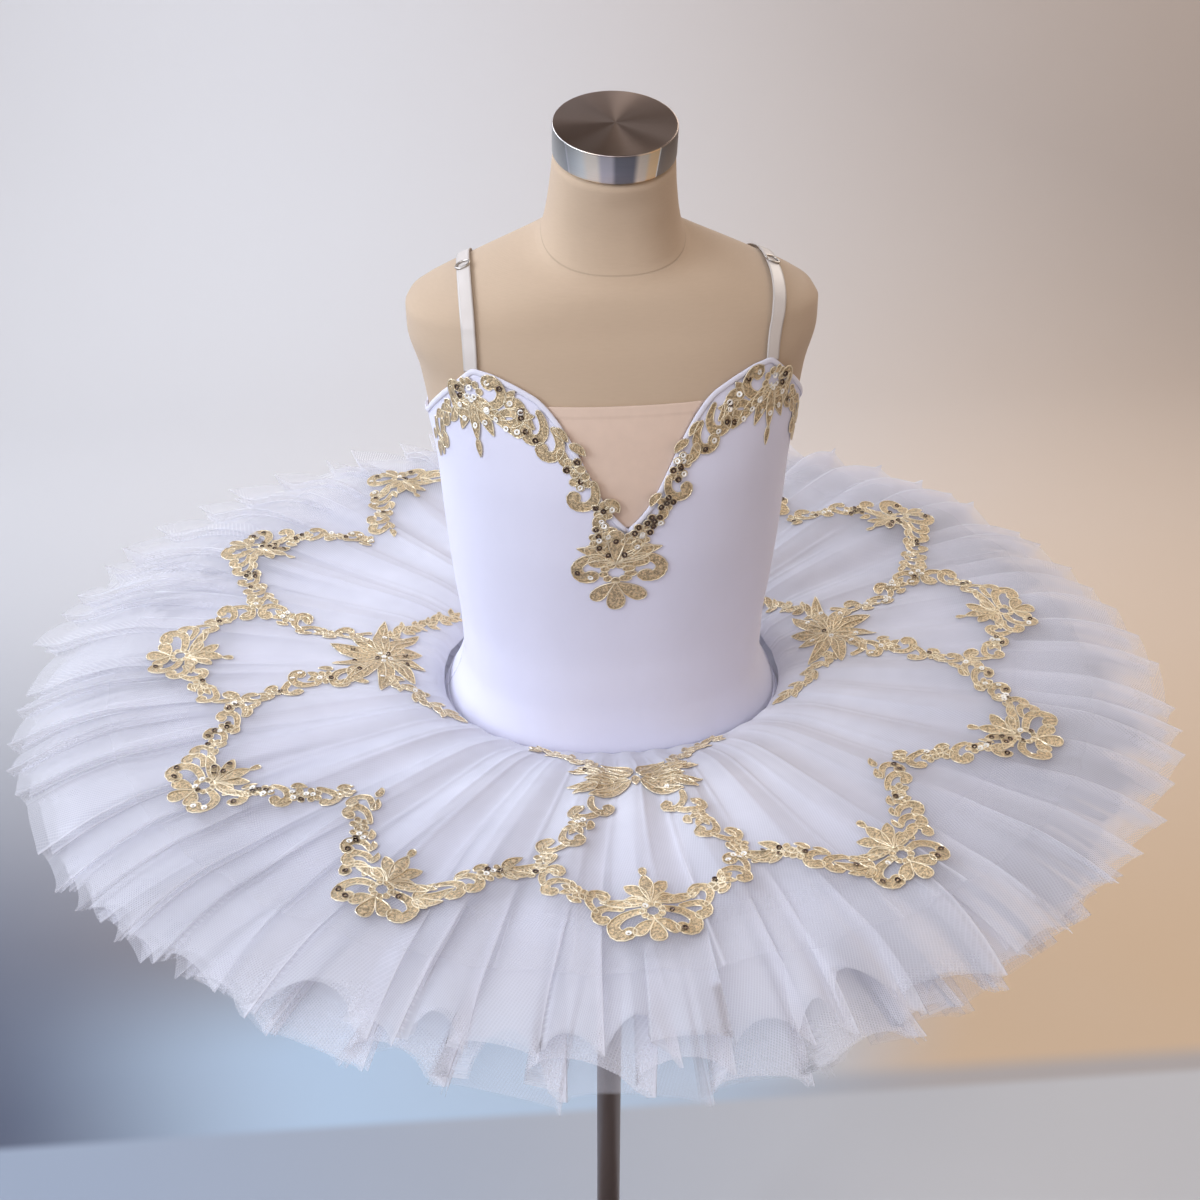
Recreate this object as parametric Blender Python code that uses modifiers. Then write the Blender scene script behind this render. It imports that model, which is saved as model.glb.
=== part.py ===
"""A ballet tutu worn by a limbless dress form on a pole and a round base.

Metres, +Z up, front towards -Y. The origin is the middle of the base's underside. Heights named
"height" are measured from the waist datum, WAIST_ABOVE_FLOOR over the floor. Angles are in degrees,
0 at the front and 90 at +X.
"""

import math
from collections import namedtuple

import bmesh
import bpy
from mathutils import Matrix, Vector

MM = 0.001

# ---- driving dimensions --------------------------------------------------------------------
WAIST_ABOVE_FLOOR = 1.050
SEAM_GAP = 0.3 * MM

FORM_SIDES = 28
SECTION_POWER = 2.35          # squareness of the torso's sections, 2 is an ellipse
CAP_RADIUS = 0.042
CAP_HEIGHT = 0.0208
CAP_EDGE = 1.2 * MM           # bevel of the cap's two rims
NECK_STEP = 0.5 * MM          # how far the cap overhangs the neck
CAP_TILT = 15.2               # degrees forward
CAP_TOP_Y = -0.0105
CAP_TOP_HEIGHT = 0.385
POLE_RADIUS = 0.0125
COLLAR_RADIUS = 0.017
COLLAR_HEIGHT = 0.025
BASE_RADIUS = 0.160
BASE_THICKNESS = 0.008
BASE_EDGE = 0.003             # bevel of the base's rim
BASE_RISE = 0.001             # how much higher the base is beside the seat
SEAT_HEIGHT = 0.030           # the seat that holds the pole
SEAT_TOP_RADIUS = 0.018
SEAT_FOOT_RADIUS = 0.020
SOCKET_FLOOR = 0.003          # metal left under the pole

CLOTH_CLEARANCE = 1.3 * MM    # from the form to the cloth's inner face
CLOTH_WALL = 1.2 * MM
CLOTH_OUT = CLOTH_CLEARANCE + CLOTH_WALL
BRIEF_CLEARANCE = 1.9 * MM
WAIST_SEAM = -0.070
SIDE_SEAM_ANGLE = 89.97
WIDEST_COLUMN = 9.5           # degrees between a panel's columns
INSERT_TOP = 0.2175
INSERT_FOOT_RISE = 3 * MM     # from the V's foot to the insert's lowest edge
INSERT_SIDE_GAP = 1.6 * SEAM_GAP
BINDING_WIDTH = 3.6 * MM
BINDING_WALL = 1.3 * MM
BINDING_FOOT_ANGLE = 0.25     # the two bindings stop this far from the middle

STRAP_WIDTH = 0.010
STRAP_FRONT_BOTTOM = 0.2405
STRAP_BACK_BOTTOM = 0.1775
STRAP_X_FRONT = 0.1025
STRAP_X_TOP_RIGHT = 0.1125
STRAP_X_TOP_LEFT = 0.1040
STRAP_X_BACK = 0.092
STRAP_RING_RADIUS = 5.2 * MM
STRAP_RING_WIRE = 0.8 * MM
SHOULDER_LOW, SHOULDER_HIGH = 0.263, 0.300

BRIEF_LOW = -0.1665
BRIEF_LEG_TOP = -0.092
LEG_CUT_FROM, LEG_CUT_SPAN = 32.0, 50.0   # angles over which the leg's edge climbs
BRIEF_STEPS = 10              # columns from a panel's middle to its side seam
GUSSET_INNER_X = 0.023
GUSSET_OUTER_X = 0.068

PLATE_FOLDS = 34
POINTS_PER_FOLD = 4
PLATE_WALL = 1.2 * MM
PLATE_SEAM_HEIGHT = -0.075
PLATE_CREST_WIDTH = 0.007     # from the inner edge to the crest of the rolled edge
PLATE_ROLL = 0.006            # how far the inner edge dips under the crest
PLATE_HEM = 0.255             # from the waist line to the hem, along the plate
FOLD_DEPTH = 2.6 * MM
WAIST_RADIUS = 0.128
WAIST_OVAL = 0.004            # half the difference between the side and the front radius
SKIRT_TILT = 0.026            # the front is higher
SKIRT_SHIFT = -0.008          # the hem sits a little towards -X
SHIFT_FROM, SHIFT_SPAN = 0.14, 0.16   # radii over which it moves there
PLATE_INNER_GAP = 1.2 * MM    # from the brief's outer face to the plate's inner edge
PLATE_ROWS = (0.045, 0.105, 0.180, PLATE_HEM)
DROOP_FROM, DROOP_SPAN = 0.22, 0.11   # where the hem starts to fall, out from the waist line
FRONT_HEM_LIFT = 0.016        # the front's hem falls less and the back's more
RUFFLE_WALL = 1.3 * MM
RUFFLE_INNER_GAP = 2.5 * MM   # from the brief's outer face to a ruffle's seam
RUFFLE_LIFT_SPAN = 0.065      # out from its seam, a ruffle climbs to the plate over this
PLEAT_FACE = 0.68             # share of a pleat that its wide face takes
PLEAT_AT_SEAM = 0.10          # a pleat's depth at the seam, as a share of that at the hem

LACE_LIFT = 2.1 * MM          # from the plate's top face to the lace, so it passes over the folds
LACE_WALL = 1.1 * MM
RING_HOLE = 3.4 * MM
RING_RIM = 8.5 * MM

FormRing = namedtuple("FormRing", "height half_width front back lean tilt")
FORM_RINGS = (
    FormRing(-0.170, 0.119, 0.091, 0.089, 0.0, 0.0),
    FormRing(-0.165, 0.125, 0.097, 0.095, 0.0, 0.0),
    FormRing(-0.125, 0.138, 0.107, 0.106, 0.0, 0.0),
    FormRing(-0.085, 0.137, 0.108, 0.105, 0.0, 0.0),
    FormRing(-0.070, 0.132, 0.106, 0.101, 0.0, 0.0),
    FormRing(-0.057, 0.1255, 0.102, 0.0955, 0.0, 0.0),
    FormRing(-0.044, 0.1205, 0.099, 0.0912, 0.0, 0.0),
    FormRing(-0.030, 0.1175, 0.097, 0.088, 0.0, 0.0),
    FormRing(0.005, 0.1180, 0.096, 0.085, 0.0, 0.0),
    FormRing(0.040, 0.1215, 0.099, 0.086, 0.0, 0.0),
    FormRing(0.075, 0.1245, 0.103, 0.090, 0.0, 0.0),
    FormRing(0.110, 0.1265, 0.106, 0.095, 0.0, 0.0),
    FormRing(0.150, 0.1290, 0.106, 0.099, 0.0, 0.0),
    FormRing(0.188, 0.1345, 0.100, 0.100, 0.0, 0.0),
    FormRing(0.220, 0.1395, 0.090, 0.098, 0.0, 0.0),
    FormRing(0.248, 0.1465, 0.080, 0.091, 0.0, 0.0),
    FormRing(0.263, 0.1465, 0.073, 0.084, 0.0, 1.0),
    FormRing(0.2715, 0.1350, 0.070, 0.078, 0.0, 2.0),
    FormRing(0.2795, 0.1165, 0.067, 0.070, 0.0005, 3.0),
    FormRing(0.287, 0.0980, 0.064, 0.063, 0.001, 5.0),
    FormRing(0.294, 0.0780, 0.061, 0.056, 0.002, 8.0),
    FormRing(0.300, 0.0600, 0.058, 0.051, 0.0035, 11.0),
    FormRing(0.305, 0.0515, 0.0545, 0.047, 0.0045, 12.0),
    FormRing(0.326, 0.0455, 0.0475, 0.044, 0.0035, 14.5),
    FormRing(0.348, 0.0425, 0.0425, 0.0425, -0.0005, 15.5),
)

# Top edge of the front: the deep V, the cup's peak at the strap and the slope to the underarm.
EdgePoint = namedtuple("EdgePoint", "angle height")
FRONT_EDGE = (
    EdgePoint(0.0, 0.132),
    EdgePoint(4.5, 0.149),
    EdgePoint(8.6, 0.171),
    EdgePoint(12.8, 0.195),
    EdgePoint(17.0, 0.2115),
    EdgePoint(21.0, 0.2225),
    EdgePoint(27.0, 0.230),
    EdgePoint(34.0, 0.2365),
    EdgePoint(41.0, 0.239),
    EdgePoint(50.0, 0.2275),
    EdgePoint(58.0, 0.2180),
    EdgePoint(66.0, 0.2080),
    EdgePoint(78.0, 0.1930),
    EdgePoint(SIDE_SEAM_ANGLE, 0.186),
)
BACK_EDGE = (
    EdgePoint(180.0 - SIDE_SEAM_ANGLE, 0.186),
    EdgePoint(108.0, 0.1800),
    EdgePoint(124.0, 0.1745),
    EdgePoint(136.0, 0.1735),
    EdgePoint(148.0, 0.1620),
    EdgePoint(164.0, 0.1500),
    EdgePoint(180.0, 0.1450),
)

# Height of the skirt's plate at a distance out from the waist line, folds left out.
PlateRow = namedtuple("PlateRow", "out height")
PLATE_PROFILE = (
    PlateRow(-0.010, -0.0630),
    PlateRow(0.000, -0.0605),
    PlateRow(0.010, -0.0560),
    PlateRow(0.025, -0.0490),
    PlateRow(0.050, -0.0410),
    PlateRow(0.100, -0.0350),
    PlateRow(0.150, -0.0300),
    PlateRow(0.200, -0.0270),
    PlateRow(0.245, -0.0275),
    PlateRow(0.280, -0.0345),
    PlateRow(0.330, -0.0550),
)

# A row for each pleated layer: where it is sewn to the brief, how far it hangs under the plate
# half way and at its hem, how far out its hem is at the front, sides and back, how deep its
# pleats are, and its rows as shares from seam to hem.
Ruffle = namedtuple("Ruffle", "name pleats seam middle hem front side back pleat_depth rows")
RUFFLES = (
    Ruffle(
        "ruffle_1", 64, -0.094, 0.0115, 0.0100, 0.296, 0.331, 0.322, 6.5 * MM, (0.0, 0.20, 0.55, 1.0)
    ),
    Ruffle("ruffle_2", 42, -0.107, 0.0240, 0.0310, 0.303, 0.316, 0.308, 8.0 * MM, (0.0, 0.26, 1.0)),
    Ruffle("ruffle_3", 42, -0.120, 0.0390, 0.0530, 0.296, 0.300, 0.292, 8.0 * MM, (0.0, 0.26, 1.0)),
)

Finish = namedtuple("Finish", "colour roughness metallic")
LINEN = Finish((0.74, 0.63, 0.50, 1), 0.9, 0.0)
VELVET = Finish((0.83, 0.82, 0.92, 1), 0.75, 0.0)
SKIN_MESH = Finish((0.85, 0.68, 0.58, 1), 0.7, 0.0)
PIPING = Finish((0.93, 0.93, 0.97, 1), 0.6, 0.0)
SATIN = Finish((0.86, 0.76, 0.73, 1), 0.4, 0.0)
NET = Finish((0.90, 0.90, 0.97, 1), 0.8, 0.0)
GOLD_LACE = Finish((0.72, 0.62, 0.40, 1), 0.45, 0.5)
BRUSHED = Finish((0.62, 0.62, 0.62, 1), 0.3, 1.0)
BLACK_STEEL = Finish((0.10, 0.09, 0.09, 1), 0.4, 0.8)


# ---- helpers -------------------------------------------------------------------------------
def clear_scene():
    for leftover in list(bpy.data.objects):
        bpy.data.objects.remove(leftover, do_unlink=True)


def tutu_collection():
    collection = bpy.data.collections.new("Ballet tutu")
    bpy.context.scene.collection.children.link(collection)
    return collection


def material(name, finish):
    made = bpy.data.materials.get(name)
    if made:
        return made
    made = bpy.data.materials.new(name)
    made.use_nodes = True
    shader = made.node_tree.nodes["Principled BSDF"]
    shader.inputs["Base Color"].default_value = finish.colour
    shader.inputs["Roughness"].default_value = finish.roughness
    shader.inputs["Metallic"].default_value = finish.metallic
    made.diffuse_color = finish.colour
    return made


def add_object(name, mesh, finish_name, finish):
    made = bpy.data.objects.new(name, mesh)
    mesh.materials.append(material(finish_name, finish))
    bpy.data.collections["Ballet tutu"].objects.link(made)
    return made


def mesh_from(bm, name):
    mesh = bpy.data.meshes.new(name)
    bm.to_mesh(mesh)
    bm.free()
    mesh.shade_smooth()
    return mesh


def add_wall(shell, thickness):
    """Gives an open surface its wall, on the side its faces point to."""
    solidify = shell.modifiers.new("Wall", "SOLIDIFY")
    solidify.thickness = thickness
    solidify.offset = 1.0
    solidify.use_even_offset = True
    return shell


def smooth_value(rows, field, key, at):
    """Reads a table's column at any key, through a smooth curve without overshoot."""
    keys = [getattr(row, key) for row in rows]
    values = [getattr(row, field) for row in rows]
    i = 0
    while i < len(keys) - 2 and at > keys[i + 1]:
        i += 1
    span = keys[i + 1] - keys[i]
    t = min(1.0, max(0.0, (at - keys[i]) / span))
    rise = (values[i + 1] - values[i]) / span

    def slope(j):
        if j <= 0 or j >= len(keys) - 1:
            return rise
        before = (values[j] - values[j - 1]) / (keys[j] - keys[j - 1])
        after = (values[j + 1] - values[j]) / (keys[j + 1] - keys[j])
        if before * after <= 0:
            return 0.0
        return 2 * before * after / (before + after)

    a, b = slope(i) * span, slope(i + 1) * span
    return (
        (2 * t**3 - 3 * t**2 + 1) * values[i]
        + (t**3 - 2 * t**2 + t) * a
        + (3 * t**2 - 2 * t**3) * values[i + 1]
        + (t**3 - t**2) * b
    )


def straight_value(rows, at, key="angle", field="height"):
    for low, high in zip(rows, rows[1:]):
        if at <= getattr(high, key):
            break
    t = (at - getattr(low, key)) / (getattr(high, key) - getattr(low, key))
    return getattr(low, field) + t * (getattr(high, field) - getattr(low, field))


def eased(t):
    t = min(1.0, max(0.0, t))
    return t * t * (3 - 2 * t)


def loft(rows, closed):
    """Faces between rows of points; a closed row joins its last point to its first."""
    bm = bmesh.new()
    grid = [[bm.verts.new(point) for point in row] for row in rows]
    count = len(rows[0])
    for lower, upper in zip(grid, grid[1:]):
        for j in range(count if closed else count - 1):
            k = (j + 1) % count
            bm.faces.new((lower[j], lower[k], upper[k], upper[j]))
    return bm, grid


# ---- the dress form ------------------------------------------------------------------------
def ring_value(field, height):
    return smooth_value(FORM_RINGS, field, "height", height)


def signed_power(value):
    return math.copysign(abs(value) ** (2 / SECTION_POWER), value)


def section_point(angle, height):
    across = signed_power(math.sin(math.radians(angle)))
    ahead = signed_power(math.cos(math.radians(angle)))
    depth = ring_value("front" if ahead >= 0 else "back", height)
    tilt = math.radians(ring_value("tilt", height))
    local_y = -depth * ahead
    return Vector((
        ring_value("half_width", height) * across,
        ring_value("lean", height) + local_y * math.cos(tilt),
        WAIST_ABOVE_FLOOR + height + local_y * math.sin(tilt),
    ))


def form_normal(angle, height):
    around = section_point(angle + 1, height) - section_point(angle - 1, height)
    upward = section_point(angle, height + 4 * MM) - section_point(angle, height - 4 * MM)
    return around.cross(upward).normalized()


def form_point(angle, height, out=0.0):
    """Point of the form's surface, moved out along its normal."""
    return section_point(angle, height) + form_normal(angle, height) * out


def form_radius(angle, height):
    """Plan distance from the axis to the form's surface in a direction."""
    a = ring_value("half_width", height)
    ahead = math.cos(math.radians(angle))
    depth = ring_value("front" if ahead >= 0 else "back", height)
    reach = (
        abs(math.sin(math.radians(angle)) / a) ** SECTION_POWER
        + abs(ahead / depth) ** SECTION_POWER
    )
    return reach ** (-1 / SECTION_POWER)


def angle_at(x, height):
    """Angle at which the form's section at a height reaches a distance from the middle."""
    share = min(1.0, x / ring_value("half_width", height))
    return math.degrees(math.asin(share ** (SECTION_POWER / 2)))


def cap_frame():
    """Axis and top centre of the neck cap, which leans forward with the neck."""
    tilt = math.radians(CAP_TILT)
    axis = Vector((0, -math.sin(tilt), math.cos(tilt)))
    top = Vector((0, CAP_TOP_Y, WAIST_ABOVE_FLOOR + CAP_TOP_HEIGHT))
    return axis, top


def make_torso():
    angles = [360 * j / FORM_SIDES for j in range(FORM_SIDES)]
    rows = [[section_point(angle, ring.height) for angle in angles] for ring in FORM_RINGS]
    axis, top = cap_frame()
    seat = top - axis * (CAP_HEIGHT + SEAM_GAP)
    ahead = Vector((0, -math.cos(math.radians(CAP_TILT)), -math.sin(math.radians(CAP_TILT))))
    neck_radius = CAP_RADIUS - NECK_STEP
    rows.append([
        seat
        + Vector((1, 0, 0)) * neck_radius * math.sin(math.radians(angle))
        + ahead * neck_radius * math.cos(math.radians(angle))
        for angle in angles
    ])
    bm, grid = loft(rows, closed=True)
    bm.faces.new(reversed(grid[0]))
    bm.faces.new(grid[-1])
    return add_object("form_torso", mesh_from(bm, "form_torso"), "Linen", LINEN)


def make_cap():
    axis, top = cap_frame()
    bm = bmesh.new()
    bmesh.ops.create_cone(
        bm, cap_ends=True, segments=32, radius1=CAP_RADIUS, radius2=CAP_RADIUS, depth=CAP_HEIGHT
    )
    rims = [edge for edge in bm.edges if len({v.co.z > 0 for v in edge.verts}) == 1]
    bmesh.ops.bevel(
        bm, geom=rims, offset=CAP_EDGE, segments=1, profile=0.5, affect="EDGES", material=-1
    )
    tilt = Matrix.Rotation(math.radians(CAP_TILT), 4, "X")
    bmesh.ops.transform(
        bm, matrix=Matrix.Translation(top - axis * CAP_HEIGHT / 2) @ tilt, verts=bm.verts
    )
    return add_object("form_neck_cap", mesh_from(bm, "form_neck_cap"), "Brushed steel", BRUSHED)


def turned(name, profile, finish_name, finish, steps=40):
    """A turned piece from its half outline, (radius, height over the floor), top to bottom."""
    bm = bmesh.new()
    points = [bm.verts.new((radius, 0, height)) for radius, height in profile]
    for upper, lower in zip(points, points[1:]):
        bm.edges.new((upper, lower))
    if profile[0][0] > 0:
        bm.edges.new((points[-1], points[0]))
    made = add_object(name, mesh_from(bm, name), finish_name, finish)
    screw = made.modifiers.new("Turn", "SCREW")
    screw.axis = "Z"
    screw.steps = steps
    screw.render_steps = steps
    screw.use_merge_vertices = True
    screw.merge_threshold = 0.01 * MM
    return made


def make_stand():
    underside = WAIST_ABOVE_FLOOR + FORM_RINGS[0].height - SEAM_GAP
    bore = POLE_RADIUS + SEAM_GAP
    turned(
        "form_collar",
        (
            (bore, underside),
            (COLLAR_RADIUS, underside),
            (COLLAR_RADIUS, underside - COLLAR_HEIGHT),
            (bore, underside - COLLAR_HEIGHT),
        ),
        "Black steel", BLACK_STEEL, 20,
    )
    seat_top = BASE_THICKNESS + SEAT_HEIGHT
    turned(
        "form_base",
        (
            (0.0, SOCKET_FLOOR),
            (bore, SOCKET_FLOOR),
            (bore, seat_top),
            (SEAT_TOP_RADIUS, seat_top),
            (SEAT_FOOT_RADIUS, BASE_THICKNESS + BASE_RISE),
            (BASE_RADIUS - BASE_EDGE, BASE_THICKNESS),
            (BASE_RADIUS, BASE_THICKNESS - BASE_EDGE),
            (BASE_RADIUS, 0.0),
            (0.0, 0.0),
        ),
        "Black steel", BLACK_STEEL, 32,
    )
    bottom = SOCKET_FLOOR + SEAM_GAP
    bpy.ops.mesh.primitive_cylinder_add(
        vertices=24, radius=POLE_RADIUS, depth=underside - bottom,
        location=(0, 0, (underside + bottom) / 2),
    )
    pole = bpy.context.object
    pole.name = pole.data.name = "form_pole"
    pole.data.materials.append(material("Black steel", BLACK_STEEL))
    for home in list(pole.users_collection):
        home.objects.unlink(pole)
    bpy.data.collections["Ballet tutu"].objects.link(pole)


# ---- the bodice and the brief --------------------------------------------------------------
def cloth_panel(name, angles, bottom, top, rows, clearance):
    """A panel on the form between two edges given as heights for each angle."""
    points = []
    for i in range(rows + 1):
        t = i / rows
        points.append([
            form_point(angle, bottom(angle) + t * (top(angle) - bottom(angle)), clearance)
            for angle in angles
        ])
    bm, _ = loft(points, closed=False)
    add_wall(add_object(name, mesh_from(bm, name), "Velvet", VELVET), CLOTH_WALL)


def column_angles(rows):
    """The edge table's angles, with more between them where they are far apart."""
    angles = [rows[0].angle]
    for low, high in zip(rows, rows[1:]):
        steps = math.ceil((high.angle - low.angle) / WIDEST_COLUMN)
        angles += [low.angle + (high.angle - low.angle) * k / steps for k in range(1, steps + 1)]
    return angles


def make_bodice():
    right = column_angles(FRONT_EDGE)
    cloth_panel(
        "bodice_front", [-angle for angle in reversed(right[1:])] + right,
        lambda angle: WAIST_SEAM + SEAM_GAP / 2,
        lambda angle: straight_value(FRONT_EDGE, abs(angle)),
        8, CLOTH_CLEARANCE,
    )
    right = column_angles(BACK_EDGE)
    cloth_panel(
        "bodice_back", right + [360 - angle for angle in reversed(right[:-1])],
        lambda angle: WAIST_SEAM + SEAM_GAP / 2,
        lambda angle: straight_value(BACK_EDGE, min(angle, 360 - angle)),
        6, CLOTH_CLEARANCE,
    )


def edge_x(height):
    """Distance of the V's edge from the middle."""
    for low, high in zip(FRONT_EDGE, FRONT_EDGE[1:]):
        if height <= high.height:
            break
    a = section_point(low.angle, low.height).x
    b = section_point(high.angle, high.height).x
    return a + (b - a) * (height - low.height) / (high.height - low.height)


def make_insert():
    """The panel behind the V: its sides follow the V's edges, its top is straight."""
    heights = [FRONT_EDGE[0].height + INSERT_FOOT_RISE]
    heights += [row.height for row in FRONT_EDGE[1:5]]
    heights.append(INSERT_TOP)
    rows = []
    for height in heights:
        reach = edge_x(height) - INSERT_SIDE_GAP
        row = []
        for k in range(-3, 4):
            x = reach * k / 3
            angle = math.copysign(angle_at(abs(x), height), x)
            row.append(form_point(angle, height, CLOTH_CLEARANCE))
        rows.append(row)
    bm, _ = loft(rows, closed=False)
    insert = add_object(
        "neckline_insert", mesh_from(bm, "neckline_insert"), "Skin mesh", SKIN_MESH
    )
    add_wall(insert, CLOTH_WALL)


def make_binding(name, side):
    """Piping on the outer face, along the front's top edge from the V's foot to the side."""
    angles = column_angles(FRONT_EDGE)
    angles[0] = BINDING_FOOT_ANGLE
    stations = [EdgePoint(angle, straight_value(FRONT_EDGE, angle)) for angle in angles]
    out = CLOTH_OUT + 2 * SEAM_GAP
    edge = [form_point(side * row.angle, row.height, out) for row in stations]
    inner = []
    for i, point in enumerate(edge):
        along = edge[min(i + 1, len(edge) - 1)] - edge[max(i - 1, 0)]
        normal = form_normal(side * stations[i].angle, stations[i].height)
        inward = normal.cross(along).normalized() * -side
        if i == 0:
            inward = Vector((0, 0, -1))
        inner.append(point + inward * BINDING_WIDTH)
    rows = (inner, edge) if side > 0 else (edge, inner)
    bm, _ = loft(rows, closed=False)
    add_wall(add_object(name, mesh_from(bm, name), "Piping", PIPING), BINDING_WALL)


def leg_edge(angle):
    """Lower edge of the brief: low in the middle, cut up to the leg openings' tops."""
    from_middle = abs(angle) if abs(angle) <= 90 else abs(180 - angle)
    return BRIEF_LOW + (BRIEF_LEG_TOP - BRIEF_LOW) * eased((from_middle - LEG_CUT_FROM) / LEG_CUT_SPAN)


def make_brief():
    for name, middle in (("brief_front", 0), ("brief_back", 180)):
        angles = [
            middle + SIDE_SEAM_ANGLE * k / BRIEF_STEPS for k in range(-BRIEF_STEPS, BRIEF_STEPS + 1)
        ]
        cloth_panel(
            name, angles, leg_edge, lambda angle: WAIST_SEAM - SEAM_GAP / 2, 4, BRIEF_CLEARANCE
        )
    make_gusset()


def make_gusset():
    """The strip under the form that joins front to back, beside the pole."""
    edge_height = BRIEF_LOW - 2 * SEAM_GAP
    low = WAIST_ABOVE_FLOOR + FORM_RINGS[0].height - BRIEF_CLEARANCE
    columns = []
    for k in range(4):
        x = GUSSET_OUTER_X + (GUSSET_INNER_X - GUSSET_OUTER_X) * k / 3
        ahead = angle_at(x, edge_height)
        front = form_point(ahead, edge_height, BRIEF_CLEARANCE)
        back = form_point(180 - ahead, edge_height, BRIEF_CLEARANCE)
        front.x = back.x = x
        column = [front]
        column += [Vector((x, front.y * share, low)) for share in (0.95, 0.5)]
        column += [Vector((x, back.y * share, low)) for share in (0.5, 0.95)]
        column.append(back)
        columns.append(column)
    bm, _ = loft(columns, closed=False)
    add_wall(add_object("brief_gusset", mesh_from(bm, "brief_gusset"), "Velvet", VELVET), CLOTH_WALL)


# ---- straps --------------------------------------------------------------------------------
def shoulder_height(x):
    """Ring height at which the form is just as wide as x."""
    low, high = SHOULDER_LOW, SHOULDER_HIGH
    for _ in range(40):
        middle = (low + high) / 2
        if ring_value("half_width", middle) > x:
            low = middle
        else:
            high = middle
    return low


def strap_line(side, back, count):
    """Angles and ring heights up one face of the shoulder, evenly in slope near the top."""
    bottom = STRAP_BACK_BOTTOM if back else STRAP_FRONT_BOTTOM
    start_x = STRAP_X_BACK if back else STRAP_X_FRONT
    top_x = STRAP_X_TOP_RIGHT if side > 0 else STRAP_X_TOP_LEFT
    summit = shoulder_height(top_x)
    line = []
    for i in range(count):
        t = i / (count - 1)
        height = bottom + (summit - bottom) * math.sin(t * math.pi / 2)
        x = start_x + (top_x - start_x) * eased(t)
        angle = angle_at(x, height)
        line.append((side * (180 - angle if back else angle), height))
    return line


def make_strap(name, side, back):
    line = strap_line(side, back, 11)
    points = [form_point(angle, height, CLOTH_CLEARANCE) for angle, height in line]
    normals = [form_normal(angle, height) for angle, height in line]
    stop = STRAP_RING_RADIUS + STRAP_RING_WIRE + SEAM_GAP
    summit = points[-1].copy()
    while (points[-2] - summit).length < stop:
        points.pop(-2)
        normals.pop(-2)
    points[-1] = summit + (points[-2] - summit).normalized() * stop
    rows = ([], [])
    for i, point in enumerate(points):
        along = points[min(i + 1, len(points) - 1)] - points[max(i - 1, 0)]
        across = along.cross(normals[i]).normalized() * (STRAP_WIDTH / 2)
        rows[0].append(point - across)
        rows[1].append(point + across)
    bm, _ = loft((rows[1], rows[0]), closed=False)
    add_wall(add_object(name, mesh_from(bm, name), "Satin", SATIN), CLOTH_WALL)


def make_strap_ring(name, side):
    """The small ring that joins the strap's front and back ends on the shoulder."""
    angle, height = strap_line(side, False, 3)[-1]
    normal = form_normal(angle, height)
    centre = form_point(angle, height, CLOTH_CLEARANCE + STRAP_RING_WIRE)
    turn = normal.to_track_quat("Z", "Y").to_matrix().to_4x4()
    bpy.ops.mesh.primitive_torus_add(
        major_segments=12, minor_segments=4,
        major_radius=STRAP_RING_RADIUS, minor_radius=STRAP_RING_WIRE,
    )
    ring = bpy.context.object
    ring.name = ring.data.name = name
    ring.data.transform(Matrix.Translation(centre) @ turn)
    ring.data.materials.append(material("Brushed steel", BRUSHED))
    for home in list(ring.users_collection):
        home.objects.unlink(ring)
    bpy.data.collections["Ballet tutu"].objects.link(ring)


# ---- the skirt -----------------------------------------------------------------------------
def waist_radius(angle):
    return WAIST_RADIUS - WAIST_OVAL * math.cos(math.radians(2 * angle))


def shift_at(radius):
    return SKIRT_SHIFT * eased((radius - SHIFT_FROM) / SHIFT_SPAN)


def plan_point(angle, radius, height):
    turn = math.radians(angle)
    x = radius * math.sin(turn) + shift_at(radius)
    return Vector((x, -radius * math.cos(turn), WAIST_ABOVE_FLOOR + height))


def plate_inner(angle):
    return form_radius(angle, PLATE_SEAM_HEIGHT) + CLOTH_OUT + PLATE_INNER_GAP


def plate_mean(angle, radius):
    """Height of the plate with its folds left out: rolled inner edge, bow, and drooping hem."""
    out = radius - waist_radius(angle)
    height = smooth_value(PLATE_PROFILE, "height", "out", out)
    rolled = 1 - min(1.0, max(0.0, (radius - plate_inner(angle)) / PLATE_CREST_WIDTH))
    height -= PLATE_ROLL * rolled ** 2
    droop = min(1.0, max(0.0, (out - DROOP_FROM) / DROOP_SPAN)) ** 1.5
    height += FRONT_HEM_LIFT * droop * math.cos(math.radians(angle))
    return height + SKIRT_TILT * radius * math.cos(math.radians(angle))


def fold_wave(angle, radius):
    """Soft uneven folds, deeper towards the hem."""
    swing = PLATE_FOLDS * angle + 22 * math.sin(math.radians(5 * angle))
    depth = FOLD_DEPTH * (0.35 + 0.65 * eased((radius - 0.13) / 0.10))
    depth *= 0.85 + 0.15 * math.sin(math.radians(7 * angle + 40))
    return depth * math.cos(math.radians(swing))


def plate_rows(angle):
    inner = plate_inner(angle)
    line = waist_radius(angle)
    return [inner, inner + PLATE_CREST_WIDTH] + [line + out for out in PLATE_ROWS]


def plate_grid():
    count = PLATE_FOLDS * POINTS_PER_FOLD
    columns = []
    for j in range(count):
        angle = 360 * j / count
        columns.append([
            (radius, plate_mean(angle, radius) + fold_wave(angle, radius))
            for radius in plate_rows(angle)
        ])
    return columns


def column_height(column, radius):
    for (r0, h0), (r1, h1) in zip(column, column[1:]):
        if radius <= r1:
            break
    return h0 + (h1 - h0) * (radius - r0) / (r1 - r0)


def plate_height(grid, angle, radius):
    """Height of the faceted plate under a plan point."""
    place = (angle % 360) / 360 * len(grid)
    low = int(place) % len(grid)
    share = place - int(place)
    here = column_height(grid[low], radius)
    after = column_height(grid[(low + 1) % len(grid)], radius)
    return here + share * (after - here)


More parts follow.
